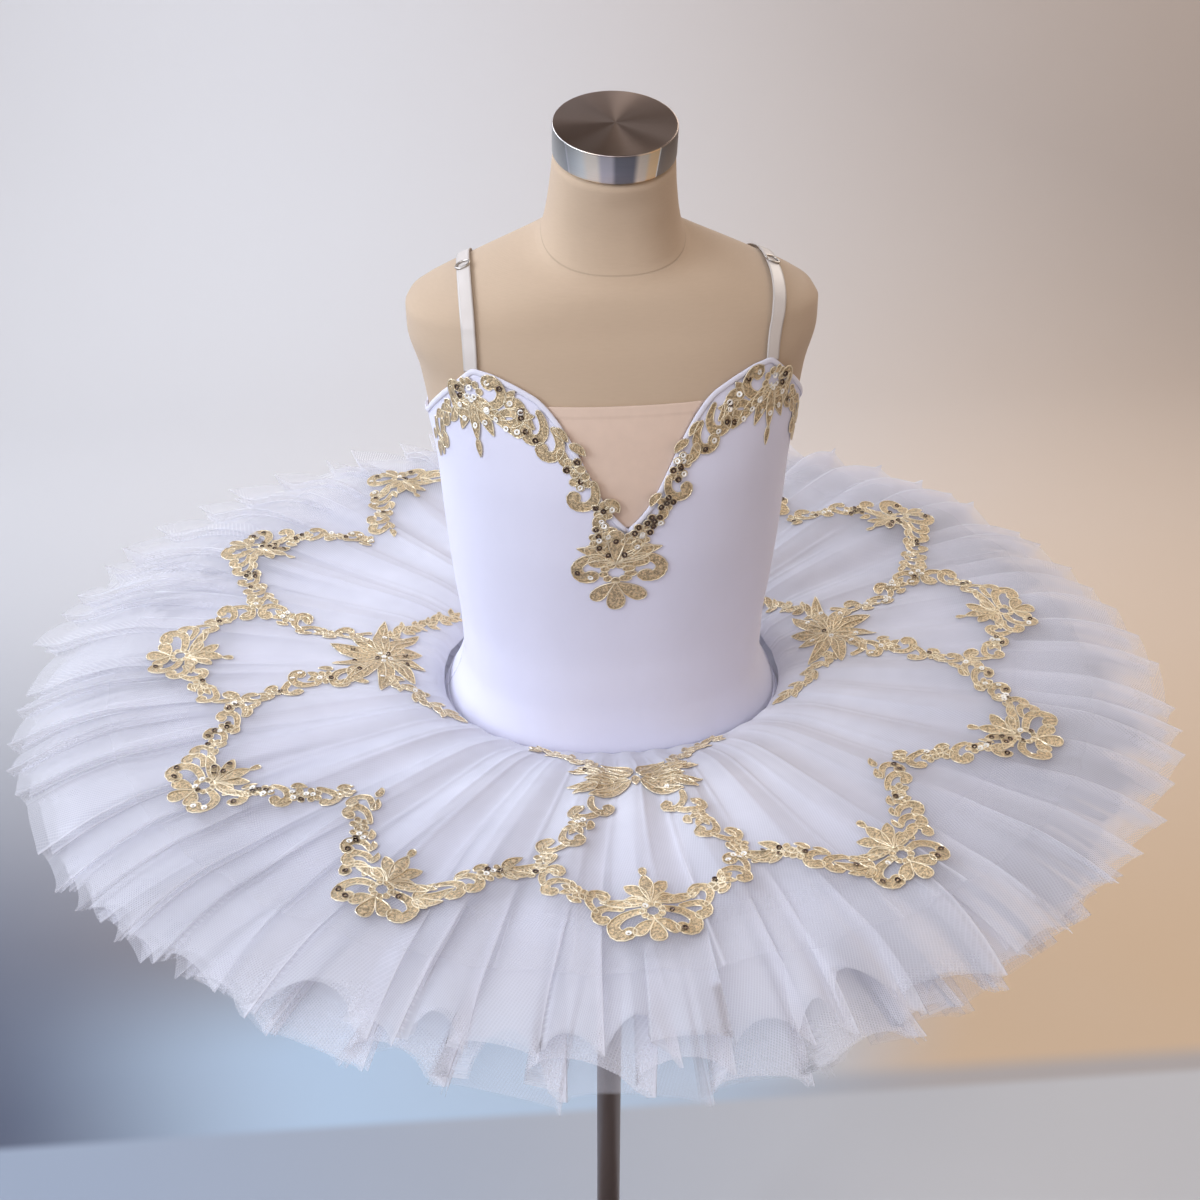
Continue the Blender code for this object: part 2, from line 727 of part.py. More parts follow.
def make_plate(grid):
    count = len(grid)
    rows = []
    for i in range(len(grid[0])):
        rows.append([
            plan_point(360 * j / count, grid[j][i][0], grid[j][i][1]) for j in range(count)
        ])
    bm, _ = loft(rows[::-1], closed=True)
    plate = add_object("skirt_plate", mesh_from(bm, "skirt_plate"), "Net", NET)
    add_wall(plate, PLATE_WALL)


def hem_out(ruffle, angle):
    ahead = math.cos(math.radians(angle))
    end = ruffle.front if ahead > 0 else ruffle.back
    return ruffle.side + (end - ruffle.side) * ahead ** 2


def ruffle_mean(ruffle, angle, radius, inner):
    """From the seam on the brief, up under the plate, out to the hem."""
    out = radius - waist_radius(angle)
    under = ruffle.middle + (ruffle.hem - ruffle.middle) * eased((out - 0.16) / 0.15)
    height = plate_mean(angle, max(radius, waist_radius(angle) + 0.02)) - under
    lift = eased((radius - inner) / RUFFLE_LIFT_SPAN)
    return ruffle.seam + (height - ruffle.seam) * lift


def make_ruffle(ruffle):
    """Knife pleats: each has a wide face and a narrow one turned under it."""
    rows = []
    for share in ruffle.rows:
        row = []
        for j in range(2 * ruffle.pleats):
            crest = j % 2 == 0
            angle = 360 * (j // 2 + (0.0 if crest else PLEAT_FACE)) / ruffle.pleats
            inner = form_radius(angle, ruffle.seam) + CLOTH_OUT + RUFFLE_INNER_GAP
            outer = waist_radius(angle) + hem_out(ruffle, angle)
            radius = inner + share * (outer - inner)
            depth = ruffle.pleat_depth * (PLEAT_AT_SEAM + (1 - PLEAT_AT_SEAM) * share)
            height = ruffle_mean(ruffle, angle, radius, inner) + (depth if crest else -depth)
            row.append(plan_point(angle, radius, height))
        rows.append(row)
    bm, _ = loft(rows[::-1], closed=True)
    made = add_object(ruffle.name, mesh_from(bm, ruffle.name), "Net", NET)
    add_wall(made, RUFFLE_WALL)


# ---- lace ----------------------------------------------------------------------------------
def smooth_path(points, spacing):
    """Evenly spaced points on a smooth curve through the given ones."""
    ends = [points[0] * 2 - points[1]] + list(points) + [points[-1] * 2 - points[-2]]
    fine = []
    for p0, p1, p2, p3 in zip(ends, ends[1:], ends[2:], ends[3:]):
        for k in range(12):
            t = k / 12
            fine.append(0.5 * (
                2 * p1 + (p2 - p0) * t + (2 * p0 - 5 * p1 + 4 * p2 - p3) * t * t
                + (3 * p1 - p0 - 3 * p2 + p3) * t ** 3
            ))
    fine.append(points[-1])
    lengths = [0.0]
    for a, b in zip(fine, fine[1:]):
        lengths.append(lengths[-1] + (b - a).length)
    count = max(2, round(lengths[-1] / spacing))
    even = []
    i = 0
    for k in range(count + 1):
        goal = lengths[-1] * k / count
        while i < len(fine) - 2 and lengths[i + 1] < goal:
            i += 1
        t = (goal - lengths[i]) / max(1e-9, lengths[i + 1] - lengths[i])
        even.append(fine[i].lerp(fine[i + 1], t))
    return even


def side_vector(points, i):
    along = points[min(i + 1, len(points) - 1)] - points[max(i - 1, 0)]
    return Vector((-along.y, along.x)).normalized()


def add_face(bm, corners):
    """A face of the flat lace, turned to face the chart's +Z."""
    area = 0.0
    for a, b in zip(corners, corners[1:] + corners[:1]):
        area += a.co.x * b.co.y - b.co.x * a.co.y
    return bm.faces.new(corners if area > 0 else corners[::-1])


def garland(bm, points, widths, spacing, start=None):
    """A strip of leaves and small flowers: its width swells and narrows along a path."""
    path = smooth_path(points, spacing)
    pairs = []
    if start:
        pairs.append(start)
    for i, point in enumerate(path):
        if start and i == 0:
            continue
        half = widths[i % len(widths)] / 2
        if i == len(path) - 1:
            half = min(widths) / 2
        side = side_vector(path, i) * half
        pairs.append((
            bm.verts.new((point + side).to_3d()),
            bm.verts.new((point - side).to_3d()),
        ))
    for (a, b), (c, d) in zip(pairs, pairs[1:]):
        straight = (a.co - c.co).length + (b.co - d.co).length
        crossed = (a.co - d.co).length + (b.co - c.co).length
        if crossed < straight:
            c, d = d, c
        add_face(bm, [a, b, d, c])


def leaf(bm, root, length, width, lean=0.0):
    """A pointed leaf or petal grown from an outline edge, away from the lace."""
    a, b = root
    middle = (a.co + b.co) / 2
    edge = b.co - a.co
    away = Vector((edge.y, -edge.x, 0)).normalized()
    across = edge.normalized()
    away = (away + across * lean).normalized()
    belly = middle + away * length * 0.5
    c = bm.verts.new(belly - across * width / 2)
    d = bm.verts.new(belly + across * width / 2)
    tip = bm.verts.new(middle + away * length)
    add_face(bm, [a, b, d, c])
    add_face(bm, [c, d, tip])


def ring_of_lace(bm, centre, turn, count=8):
    """An open ring; returns its outline edges, the first one facing the given direction."""
    inner, outer = [], []
    for k in range(count):
        at = turn + math.tau * (k - 0.5) / count
        ray = Vector((math.cos(at), math.sin(at), 0))
        inner.append(bm.verts.new(centre.to_3d() + ray * RING_HOLE))
        outer.append(bm.verts.new(centre.to_3d() + ray * RING_RIM))
    for k in range(count):
        n = (k + 1) % count
        add_face(bm, [inner[k], outer[k], outer[n], inner[n]])
    return [(outer[k], outer[(k + 1) % count]) for k in range(count)]


def settle(bm, chart):
    """Moves the flat lace onto the cloth that carries it."""
    for vert in bm.verts:
        vert.co = chart(vert.co.x, vert.co.y)
    return bm


def finish_lace(name, bm, chart):
    settle(bm, chart)
    made = add_object(name, mesh_from(bm, name), "Gold lace", GOLD_LACE)
    add_wall(made, LACE_WALL)


def plan(angle, out):
    """Plan point at an angle and a distance out from the waist line."""
    turn = math.radians(angle)
    radius = waist_radius(angle) + out
    return Vector((radius * math.sin(turn), -radius * math.cos(turn)))


def plan_by_crest(angle, out):
    """Plan point at a distance out from the crest of the plate's rolled inner edge."""
    turn = math.radians(angle)
    radius = plate_inner(angle) + PLATE_CREST_WIDTH + out
    return Vector((radius * math.sin(turn), -radius * math.cos(turn)))


# Paths of the skirt's lace in one eighth: angle from the flower's middle, distance out.
FLOWER_OUT = 0.052
FLOWER_ARM = ((8.0, 0.096), (11.0, 0.126), (13.4, 0.1455))
WAIST_SWAG = ((15.0, 0.0260), (23.0, 0.0130), (32.0, 0.0080))
SMALL_OUT = 0.206
SMALL_ARM = ((6.8, 0.192), (11.5, 0.176), (13.7, 0.1590))
LARGE_ANGLE = 30.0
LARGE_OUT = 0.212
LARGE_INNER_ARM = ((25.5, 0.205), (21.0, 0.182), (15.8, 0.157))
LARGE_NOTCH_ARM = ((35.0, 0.192), (39.2, 0.166), (43.4, 0.138))
GARLAND_WIDTHS = (0.009, 0.016)
GARLAND_STEP = 0.0170


def skirt_chart(grid):
    def chart(x, y):
        angle = math.degrees(math.atan2(x, -y))
        radius = math.hypot(x, y)
        height = plate_height(grid, angle, radius) + PLATE_WALL + LACE_LIFT
        return Vector((x + shift_at(radius), y, WAIST_ABOVE_FLOOR + height))
    return chart


def grow_palmette(bm, centre, outward):
    """Ring with a three-petal tip outside and one leaf inside; returns its two side edges."""
    edges = ring_of_lace(bm, centre, outward)
    leaf(bm, edges[0], 0.029, 0.0130)
    leaf(bm, edges[1], 0.021, 0.0110)
    leaf(bm, edges[7], 0.021, 0.0110)
    leaf(bm, edges[4], 0.022, 0.0100)
    return edges[2], edges[6]


def make_skirt_lace(grid):
    chart = skirt_chart(grid)
    names = ("front", "right", "back", "left")
    large = 0
    for quarter, name in enumerate(names):
        turn = 90.0 * quarter
        make_flower(f"lace_flower_{name}", turn, chart)
        make_small_lobe(f"lace_small_{name}", turn, chart)
        for side in (1, -1):
            large += 1
            make_large_lobe(f"lace_large_{large}", turn, side, chart)


def outward_turn(angle):
    return math.radians(angle - 90)


def make_small_lobe(name, turn, chart):
    bm = bmesh.new()
    centre = plan(turn, SMALL_OUT)
    left, right = grow_palmette(bm, centre, outward_turn(turn))
    for side, edge in ((1, left), (-1, right)):
        path = [centre] + [plan(turn + side * angle, out) for angle, out in SMALL_ARM]
        path[0] = ((edge[0].co + edge[1].co) / 2).to_2d()
        garland(bm, path, GARLAND_WIDTHS, GARLAND_STEP, start=edge)
    finish_lace(name, bm, chart)


def make_large_lobe(name, turn, side, chart):
    bm = bmesh.new()
    middle = turn + side * LARGE_ANGLE
    centre = plan(middle, LARGE_OUT)
    left, right = grow_palmette(bm, centre, outward_turn(middle))
    inner_edge, notch_edge = (right, left) if side > 0 else (left, right)
    for arm, edge in ((LARGE_INNER_ARM, inner_edge), (LARGE_NOTCH_ARM, notch_edge)):
        path = [((edge[0].co + edge[1].co) / 2).to_2d()]
        path += [plan(turn + side * angle, out) for angle, out in arm]
        garland(bm, path, GARLAND_WIDTHS, GARLAND_STEP, start=edge)
    finish_lace(name, bm, chart)


def make_flower(name, turn, chart):
    bm = bmesh.new()
    centre = plan(turn, FLOWER_OUT)
    edges = ring_of_lace(bm, centre, outward_turn(turn))
    leaf(bm, edges[0], 0.028, 0.010)
    leaf(bm, edges[4], 0.016, 0.010)
    for side, arm, swag in ((1, edges[1], edges[2]), (-1, edges[7], edges[6])):
        path = [((arm[0].co + arm[1].co) / 2).to_2d()]
        path += [plan(turn + side * angle, out) for angle, out in FLOWER_ARM]
        garland(bm, path, GARLAND_WIDTHS, GARLAND_STEP, start=arm)
        path = [((swag[0].co + swag[1].co) / 2).to_2d()]
        path += [plan_by_crest(turn + side * angle, out) for angle, out in WAIST_SWAG]
        garland(bm, path, (0.009, 0.013), GARLAND_STEP, start=swag)
    finish_lace(name, bm, chart)


# Paths of the bodice's lace: angle round the body, height.
CHART_RADIUS = 0.125
V_PATH = ((36.0, 0.2210), (27.0, 0.2150), (21.0, 0.2010),
          (16.5, 0.1800), (12.5, 0.1570), (8.4, 0.1380), (4.4, 0.1255))
UNDERARM_PATH = ((54.0, 0.2075), (62.0, 0.1970), (67.0, 0.1830), (69.0, 0.1660))
PENDANT_HEIGHT = 0.0975


def on_bodice(angle, height):
    return Vector((math.radians(angle) * CHART_RADIUS, height))


def bodice_chart(u, v):
    return form_point(math.degrees(u / CHART_RADIUS), v, CLOTH_OUT + SEAM_GAP + 0.3 * MM)


def make_bodice_lace(name, side):
    """From the V's foot up round the cup's peak and down beside the underarm, one drop leaf."""
    bm = bmesh.new()
    centre = on_bodice(side * 45.0, 0.2140)
    edges = ring_of_lace(bm, centre, -math.pi / 2)
    leaf(bm, edges[0], 0.032, 0.011)
    leaf(bm, edges[7 if side > 0 else 1], 0.018, 0.010)
    leaf(bm, edges[4], 0.007, 0.007)
    to_right, to_left = edges[2], edges[6]
    v_edge, arm_edge = (to_left, to_right) if side > 0 else (to_right, to_left)
    path = [((v_edge[0].co + v_edge[1].co) / 2).to_2d()]
    path += [on_bodice(side * angle, height) for angle, height in V_PATH]
    garland(bm, path, (0.008, 0.0125), 0.0125, start=v_edge)
    path = [((arm_edge[0].co + arm_edge[1].co) / 2).to_2d()]
    path += [on_bodice(side * angle, height) for angle, height in UNDERARM_PATH]
    garland(bm, path, (0.008, 0.0130), 0.0120, start=arm_edge)
    finish_lace(name, bm, bodice_chart)


def make_pendant():
    """Ring below the V's foot, three petals under it and a scroll to each side."""
    bm = bmesh.new()
    centre = on_bodice(0.0, PENDANT_HEIGHT)
    edges = ring_of_lace(bm, centre, -math.pi / 2)
    leaf(bm, edges[0], 0.030, 0.014)
    leaf(bm, edges[1], 0.022, 0.011, -0.25)
    leaf(bm, edges[7], 0.022, 0.011, 0.25)
    leaf(bm, edges[4], 0.019, 0.010)
    scroll = ((0.014, 0.014), (0.024, 0.013), (0.030, 0.004), (0.026, -0.006), (0.019, -0.004))
    for side, edge in ((1, edges[3]), (-1, edges[5])):
        path = [((edge[0].co + edge[1].co) / 2).to_2d()]
        path += [centre + Vector((side * u, v)) for u, v in scroll]
        garland(bm, path, (0.0055, 0.0075), 0.0100, start=edge)
    finish_lace("bodice_lace_pendant", bm, bodice_chart)


# ---- assembly ------------------------------------------------------------------------------
def main():
    clear_scene()
    tutu_collection()
    make_torso()
    make_cap()
    make_stand()
    make_bodice()
    make_insert()
    make_binding("binding_right", 1)
    make_binding("binding_left", -1)
    make_brief()
    for side, word in ((1, "right"), (-1, "left")):
        make_strap(f"strap_{word}_front", side, False)
        make_strap(f"strap_{word}_back", side, True)
        make_strap_ring(f"strap_ring_{word}", side)
    grid = plate_grid()
    make_plate(grid)
    for ruffle in RUFFLES:
        make_ruffle(ruffle)
    make_skirt_lace(grid)
    make_bodice_lace("bodice_lace_right", 1)
    make_bodice_lace("bodice_lace_left", -1)
    make_pendant()


main()
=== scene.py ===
import math

import bmesh
import bpy
import numpy as np
from bpy.props import FloatProperty, FloatVectorProperty, IntProperty
from mathutils import Matrix, Vector


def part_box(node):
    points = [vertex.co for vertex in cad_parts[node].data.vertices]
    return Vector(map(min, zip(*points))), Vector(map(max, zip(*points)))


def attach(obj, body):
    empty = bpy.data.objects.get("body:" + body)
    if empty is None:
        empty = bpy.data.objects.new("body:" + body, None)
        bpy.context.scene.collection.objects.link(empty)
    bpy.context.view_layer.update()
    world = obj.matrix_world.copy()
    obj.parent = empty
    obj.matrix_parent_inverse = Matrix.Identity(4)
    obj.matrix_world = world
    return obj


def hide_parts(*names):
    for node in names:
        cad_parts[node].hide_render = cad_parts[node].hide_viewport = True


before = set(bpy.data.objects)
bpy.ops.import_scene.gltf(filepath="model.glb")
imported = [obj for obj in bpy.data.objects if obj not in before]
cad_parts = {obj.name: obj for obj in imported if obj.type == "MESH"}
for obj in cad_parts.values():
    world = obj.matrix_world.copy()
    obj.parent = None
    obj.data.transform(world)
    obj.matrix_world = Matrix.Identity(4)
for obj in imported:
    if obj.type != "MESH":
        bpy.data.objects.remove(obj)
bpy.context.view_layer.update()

bl_info = {
    "name": "Ballet tutu on a dress form",
    "version": (1, 0, 0),
    "blender": (4, 5, 0),
    "location": "3D View > Sidebar > Tutu",
    "description": "Velvet, net, corded lace, satin, linen and metal for the tutu and its form",
    "category": "Object",
}

MM = 0.001

# ---- shapes shared with the solids, in metres; "height" is from the waist, angles in degrees --
WAIST_ABOVE_FLOOR = 1.050
SECTION_POWER = 2.35
CAP_RADIUS, CAP_HEIGHT, CAP_TILT = 0.042, 0.0208, 15.2
CAP_TOP_Y, CAP_TOP_HEIGHT = -0.0105, 0.385
CLOTH_GAP, CLOTH_WALL = 1.3 * MM, 1.2 * MM
CLOTH_OUT = CLOTH_GAP + CLOTH_WALL
BRIEF_GAP = 1.9 * MM
WAIST_SEAM = -0.070
INSERT_TOP = 0.2175
PLATE_HEM = 0.255
SKIRT_SHIFT = -0.008
NECK_SEAM_TILT, NECK_SEAM_LEVEL = 15.27, 1.3092   # plane of the seam round the neck's foot

# height, half width, front depth, back depth, lean and tilt of the form's sections
HALF_WIDTH, FRONT_DEPTH, BACK_DEPTH, LEAN, TILT = 1, 2, 3, 4, 5
FORM_RINGS = np.array((
    (-0.170, 0.119, 0.091, 0.089, 0, 0), (-0.165, 0.125, 0.097, 0.095, 0, 0),
    (-0.125, 0.138, 0.107, 0.106, 0, 0), (-0.085, 0.137, 0.108, 0.105, 0, 0),
    (-0.070, 0.132, 0.106, 0.101, 0, 0), (-0.057, 0.1255, 0.102, 0.0955, 0, 0),
    (-0.044, 0.1205, 0.099, 0.0912, 0, 0), (-0.030, 0.1175, 0.097, 0.088, 0, 0),
    (0.005, 0.1180, 0.096, 0.085, 0, 0), (0.040, 0.1215, 0.099, 0.086, 0, 0),
    (0.075, 0.1245, 0.103, 0.090, 0, 0), (0.110, 0.1265, 0.106, 0.095, 0, 0),
    (0.150, 0.1290, 0.106, 0.099, 0, 0), (0.188, 0.1345, 0.100, 0.100, 0, 0),
    (0.220, 0.1395, 0.090, 0.098, 0, 0), (0.248, 0.1465, 0.080, 0.091, 0, 0),
    (0.263, 0.1465, 0.073, 0.084, 0, 1), (0.2715, 0.1350, 0.070, 0.078, 0, 2),
    (0.2795, 0.1165, 0.067, 0.070, 0.0005, 3), (0.287, 0.0980, 0.064, 0.063, 0.001, 5),
    (0.294, 0.0780, 0.061, 0.056, 0.002, 8), (0.300, 0.0600, 0.058, 0.051, 0.0035, 11),
    (0.305, 0.0515, 0.0545, 0.047, 0.0045, 12), (0.326, 0.0455, 0.0475, 0.044, 0.0035, 14.5),
    (0.348, 0.0425, 0.0425, 0.0425, -0.0005, 15.5),
))
FRONT_EDGE = np.array((
    (0, 0.132), (4.5, 0.149), (8.6, 0.171), (12.8, 0.195), (17, 0.2115), (21, 0.2225),
    (27, 0.230), (34, 0.2365), (41, 0.239), (50, 0.2275), (58, 0.218), (66, 0.208),
    (78, 0.193), (90, 0.186),
))
BACK_EDGE = np.array((
    (90, 0.186), (108, 0.180), (124, 0.1745), (136, 0.1735), (148, 0.162), (164, 0.150),
    (180, 0.145),
))
PLATE_PROFILE = np.array((
    (-0.010, -0.0630), (0, -0.0605), (0.010, -0.0560), (0.025, -0.0490), (0.050, -0.0410),
    (0.100, -0.0350), (0.150, -0.0300), (0.200, -0.0270), (0.245, -0.0275), (0.280, -0.0345),
    (0.330, -0.0550),
))

# The skirt's net, two layers for each solid: node, pleats, first pleat's angle, seam height, how
# far it hangs under the overlay half way and at the hem, its hem at the front, side and back,
# the pleats' depth, how much the hem's faces arch, and the seed of its irregularities.
NET_LAYERS = (
    ("net_1_upper", "ruffle_1", 66, 0.0,
     -0.094, 0.0085, 0.006, 0.297, 0.331, 0.334, 0.0065, 0.1, 11),
    ("net_1_lower", "ruffle_1", 66, 0.0,
     -0.095, 0.0125, 0.013, 0.289, 0.322, 0.325, 0.0065, 0.2, 11),
    ("net_2_upper", "ruffle_2", 50, 2.9,
     -0.106, 0.021, 0.024, 0.306, 0.308, 0.314, 0.0075, 0.45, 13),
    ("net_2_lower", "ruffle_2", 50, 2.9,
     -0.108, 0.026, 0.033, 0.3, 0.299, 0.305, 0.0075, 0.55, 13),
    ("net_3_upper", "ruffle_3", 40, 2.2,
     -0.119, 0.035, 0.045, 0.299, 0.292, 0.294, 0.0085, 0.75, 15),
    ("net_3_lower", "ruffle_3", 40, 2.2,
     -0.121, 0.041, 0.056, 0.293, 0.284, 0.286, 0.0085, 0.85, 15),
)
# One knife pleat across: place along the pitch, how much of it moves with the overlap, height.
PLEAT = np.array((
    (0.00, 0.00, -1.00), (0.04, 0.00, -0.84), (0.16, 0.00, -0.58), (0.32, 0.00, -0.25),
    (0.50, 0.00, 0.06), (0.68, 0.00, 0.34), (0.85, 0.00, 0.60), (1.00, 0.00, 0.80),
    (1.00, 0.60, 0.93), (1.00, 0.93, 1.00), (1.00, 1.00, 0.92), (1.00, 0.93, 0.80),
    (1.00, 0.50, 0.25), (1.00, 0.06, -0.60),
))
PLEAT_ALONG, PLEAT_LAP, PLEAT_RISE = PLEAT.T
PLEAT_FOLDED = np.array((0.55, 0.1, 0, 0, 0, 0, 0, 0, 0.15, 0.8, 1.0, 0.8, 0.15, 0.3))
# How closely each net covers, how closely its folds do, and what is left of that at its hem.
NET_COVER = {
    "ruffle_1": (0.82, 1.0, 0.32), "ruffle_2": (0.72, 0.70, 0.34), "ruffle_3": (0.64, 0.60, 0.16),
}
# Radii where the net starts to thin out, and where it is thinnest.
THIN_FROM, THIN_NET_HEM, THIN_OVERLAY_HEM = 0.20, 0.43, 0.388
PITCH_RADIUS = 0.44                                # where a pleat's width is measured
NET_ROWS, OVERLAY_ROWS, OVERLAY_COLUMNS, OVERLAY_FOLDS = 30, 40, 960, 34
ROLL_WIDTH, ROLL_DEPTH = 7 * MM, 6 * MM          # how the overlay's inner edge rolls under

LACE_QUARTERS = ("front", "right", "back", "left")
FLOWER_OUT, SMALL_OUT, LARGE_OUT, LARGE_ANGLE = 0.052, 0.206, 0.212, 30.0
FLOWER_ARM = ((8.0, 0.096), (11.0, 0.126), (14.4, 0.1540))
WAIST_SWAG = ((15.0, 0.0260), (23.0, 0.0130), (32.0, 0.0080))
SMALL_ARM = ((6.8, 0.192), (11.5, 0.176), (14.4, 0.1580))
LARGE_INNER_ARM = ((25.5, 0.205), (21.0, 0.182), (15.2, 0.1570))
LARGE_NOTCH_ARM = ((35.0, 0.192), (39.2, 0.166), (43.4, 0.138))
# One half of the front waist spray: place aside and ahead of its middle, turn, length, width.
WAIST_SPRAY = (
    (2, -3, -0.70, 28, 12.0), (3, -1, -0.26, 46, 14.0), (5, 4, 0.10, 44, 13.0),
    (4, 6, 0.50, 34, 12.5), (28, 7, 0.55, 20, 10.0), (24, -5, -0.55, 22, 9.5),
    (12, 1, -0.05, 24, 10.0),
)
V_PATH = ((36.0, 0.2210), (27.0, 0.2150), (21.0, 0.2010),
          (16.5, 0.1800), (12.5, 0.1570), (8.4, 0.1380), (4.4, 0.1255))
UNDERARM_PATH = ((54.0, 0.2075), (62.0, 0.1970), (67.0, 0.1830), (69.0, 0.1660))
BODICE_CHART_RADIUS = 0.125
PENDANT_ANGLE, PENDANT_HEIGHT = -2.4, 0.0975


def metres(name, description, default, least=0.5 * MM):
    return FloatProperty(
        name=name, description=description, default=default, min=least, precision=5, unit="LENGTH")


class TutuSizes(bpy.types.PropertyGroup):
    """Small sizes of the net, lace and trims"""
    net_hole: metres("Net hole", "Distance between the net's threads", 1.9 * MM)
    cord: metres("Lace cord", "Radius of the cord round the lace's leaves", 0.44 * MM, 0.1 * MM)
    sequin: metres("Sequin", "Radius of a sequin", 2.1 * MM)
    piping: metres("Piping", "Width of the piping along the neckline", 4.0 * MM, 1 * MM)
    strap: metres("Strap", "Width of the shoulder straps", 10.0 * MM, 3 * MM)
    overlay_creases: IntProperty(
        name="Creases", description="Soft creases that fan out over the overlay", default=84, min=0)


def colour(name, description, value):
    return FloatVectorProperty(
        name=name, description=description, default=value, subtype="COLOR", min=0, max=1)


class TutuColours(bpy.types.PropertyGroup):
    """Colours of the cloth, lace and metal"""
    linen: colour("Linen", "Cover of the dress form", (0.56, 0.425, 0.305))
    velvet: colour("Velvet", "Bodice and brief", (0.745, 0.74, 0.875))
    net: colour("Net", "Overlay and pleated layers", (0.90, 0.90, 0.965))
    piping: colour("Piping", "Edge of the neckline", (0.76, 0.75, 0.85))
    skin: colour("Insert", "Panel behind the V", (0.72, 0.55, 0.44))
    satin: colour("Satin", "Shoulder straps", (0.64, 0.585, 0.545))
    cord: colour("Cord", "Cord of the lace", (0.86, 0.75, 0.55))
    thread: colour("Thread", "Filling of the lace's leaves", (0.51, 0.39, 0.235))
    # Pale sequins: near white, partly their own colour and partly a painted glint of sequins that
    # catch the light.
    sequin: colour("Pale sequins", "Sequins that catch the light", (0.98, 0.95, 0.88))
    smoked: colour("Dark sequins", "Smoked sequins", (0.10, 0.06, 0.04))
    steel: colour("Brushed steel", "Cap and rings", (0.42, 0.35, 0.31))
    dark_steel: colour("Dark steel", "Pole, collar and base", (0.155, 0.118, 0.105))


def sizes():
    return bpy.context.scene.tutu_sizes


def colours():
    return bpy.context.scene.tutu_colours


# ---- reading tables and surfaces, all on whole arrays at once ---------------------------------
def smooth_read(table, column, at):
    """Reads a table's column at any first-column key, through a smooth curve without overshoot."""
    keys, values = table[:, 0], table[:, column]
    rise = np.diff(values) / np.diff(keys)
    slope = np.empty_like(values)
    slope[0], slope[-1] = rise[0], rise[-1]
    before, after = rise[:-1], rise[1:]
    level = before * after <= 0
    slope[1:-1] = np.where(level, 0, 2 * before * after / np.where(level, 1, before + after))
    i = np.clip(np.searchsorted(keys, at) - 1, 0, len(keys) - 2)
    span = keys[i + 1] - keys[i]
    t = np.clip((at - keys[i]) / span, 0, 1)
    return (
        (2 * t**3 - 3 * t**2 + 1) * values[i] + (t**3 - 2 * t**2 + t) * slope[i] * span
        + (3 * t**2 - 2 * t**3) * values[i + 1] + (t**3 - t**2) * slope[i + 1] * span
    )


def eased(t):
    t = np.clip(t, 0, 1)
    return t * t * (3 - 2 * t)


def sin(degrees):
    return np.sin(np.radians(degrees))


def cos(degrees):
    return np.cos(np.radians(degrees))


def unit(vectors):
    return vectors / np.linalg.norm(vectors, axis=-1, keepdims=True)


def form_size(column, height):
    return smooth_read(FORM_RINGS, column, height)


def form_depth(angle, height):
    return np.where(cos(angle) >= 0, form_size(FRONT_DEPTH, height), form_size(BACK_DEPTH, height))


def section(angle, height):
    """Points on the form's surface."""
    ahead, aside = (np.sign(c) * np.abs(c) ** (2 / SECTION_POWER) for c in (cos(angle), sin(angle)))
    depth, tilt = form_depth(angle, height), form_size(TILT, height)
    return np.stack((
        form_size(HALF_WIDTH, height) * aside,
        form_size(LEAN, height) - depth * ahead * cos(tilt),
        WAIST_ABOVE_FLOOR + height - depth * ahead * sin(tilt),
    ), axis=-1)


def form_normal(angle, height):
    around = section(angle + 1, height) - section(angle - 1, height)
    upward = section(angle, height + 4 * MM) - section(angle, height - 4 * MM)
    return unit(np.cross(around, upward))


def on_form(angle, height, out=0.0):
    """Points of the form's surface, moved out along its normal."""
    angle, height = np.broadcast_arrays(np.asarray(angle, float), np.asarray(height, float))
    return section(angle, height) + form_normal(angle, height) * np.asarray(out)[..., None]


def form_radius(angle, height):
    reach = (
        np.abs(sin(angle) / form_size(HALF_WIDTH, height)) ** SECTION_POWER
        + np.abs(cos(angle) / form_depth(angle, height)) ** SECTION_POWER
    )
    return reach ** (-1 / SECTION_POWER)


def angle_at(x, height):
    """Angle at which the form's section reaches a distance from the middle."""
    share = np.minimum(1, np.abs(x) / form_size(HALF_WIDTH, height))
    return np.degrees(np.arcsin(share ** (SECTION_POWER / 2)))


def waist_radius(angle):
    return 0.128 - 0.004 * cos(2 * angle)


def shift_at(radius):
    return SKIRT_SHIFT * eased((radius - 0.14) / 0.16)


def plan_point(angle, radius, height):
    return np.stack((
        radius * sin(angle) + shift_at(radius), -radius * cos(angle), WAIST_ABOVE_FLOOR + height
    ), axis=-1)


def overlay_inner(angle):
    return form_radius(angle, -0.075) + CLOTH_OUT + 1.2 * MM


def overlay_mean(angle, radius):
    """Height of the overlay with its folds left out."""
    out = radius - waist_radius(angle)
    height = smooth_read(PLATE_PROFILE, 1, out)
    rolled = 1 - np.clip((radius - overlay_inner(angle)) / ROLL_WIDTH, 0, 1)
    droop = np.clip((out - 0.22) / 0.11, 0, 1) ** 1.5
    return height - ROLL_DEPTH * rolled**2 + (0.016 * droop + 0.026 * radius) * cos(angle)


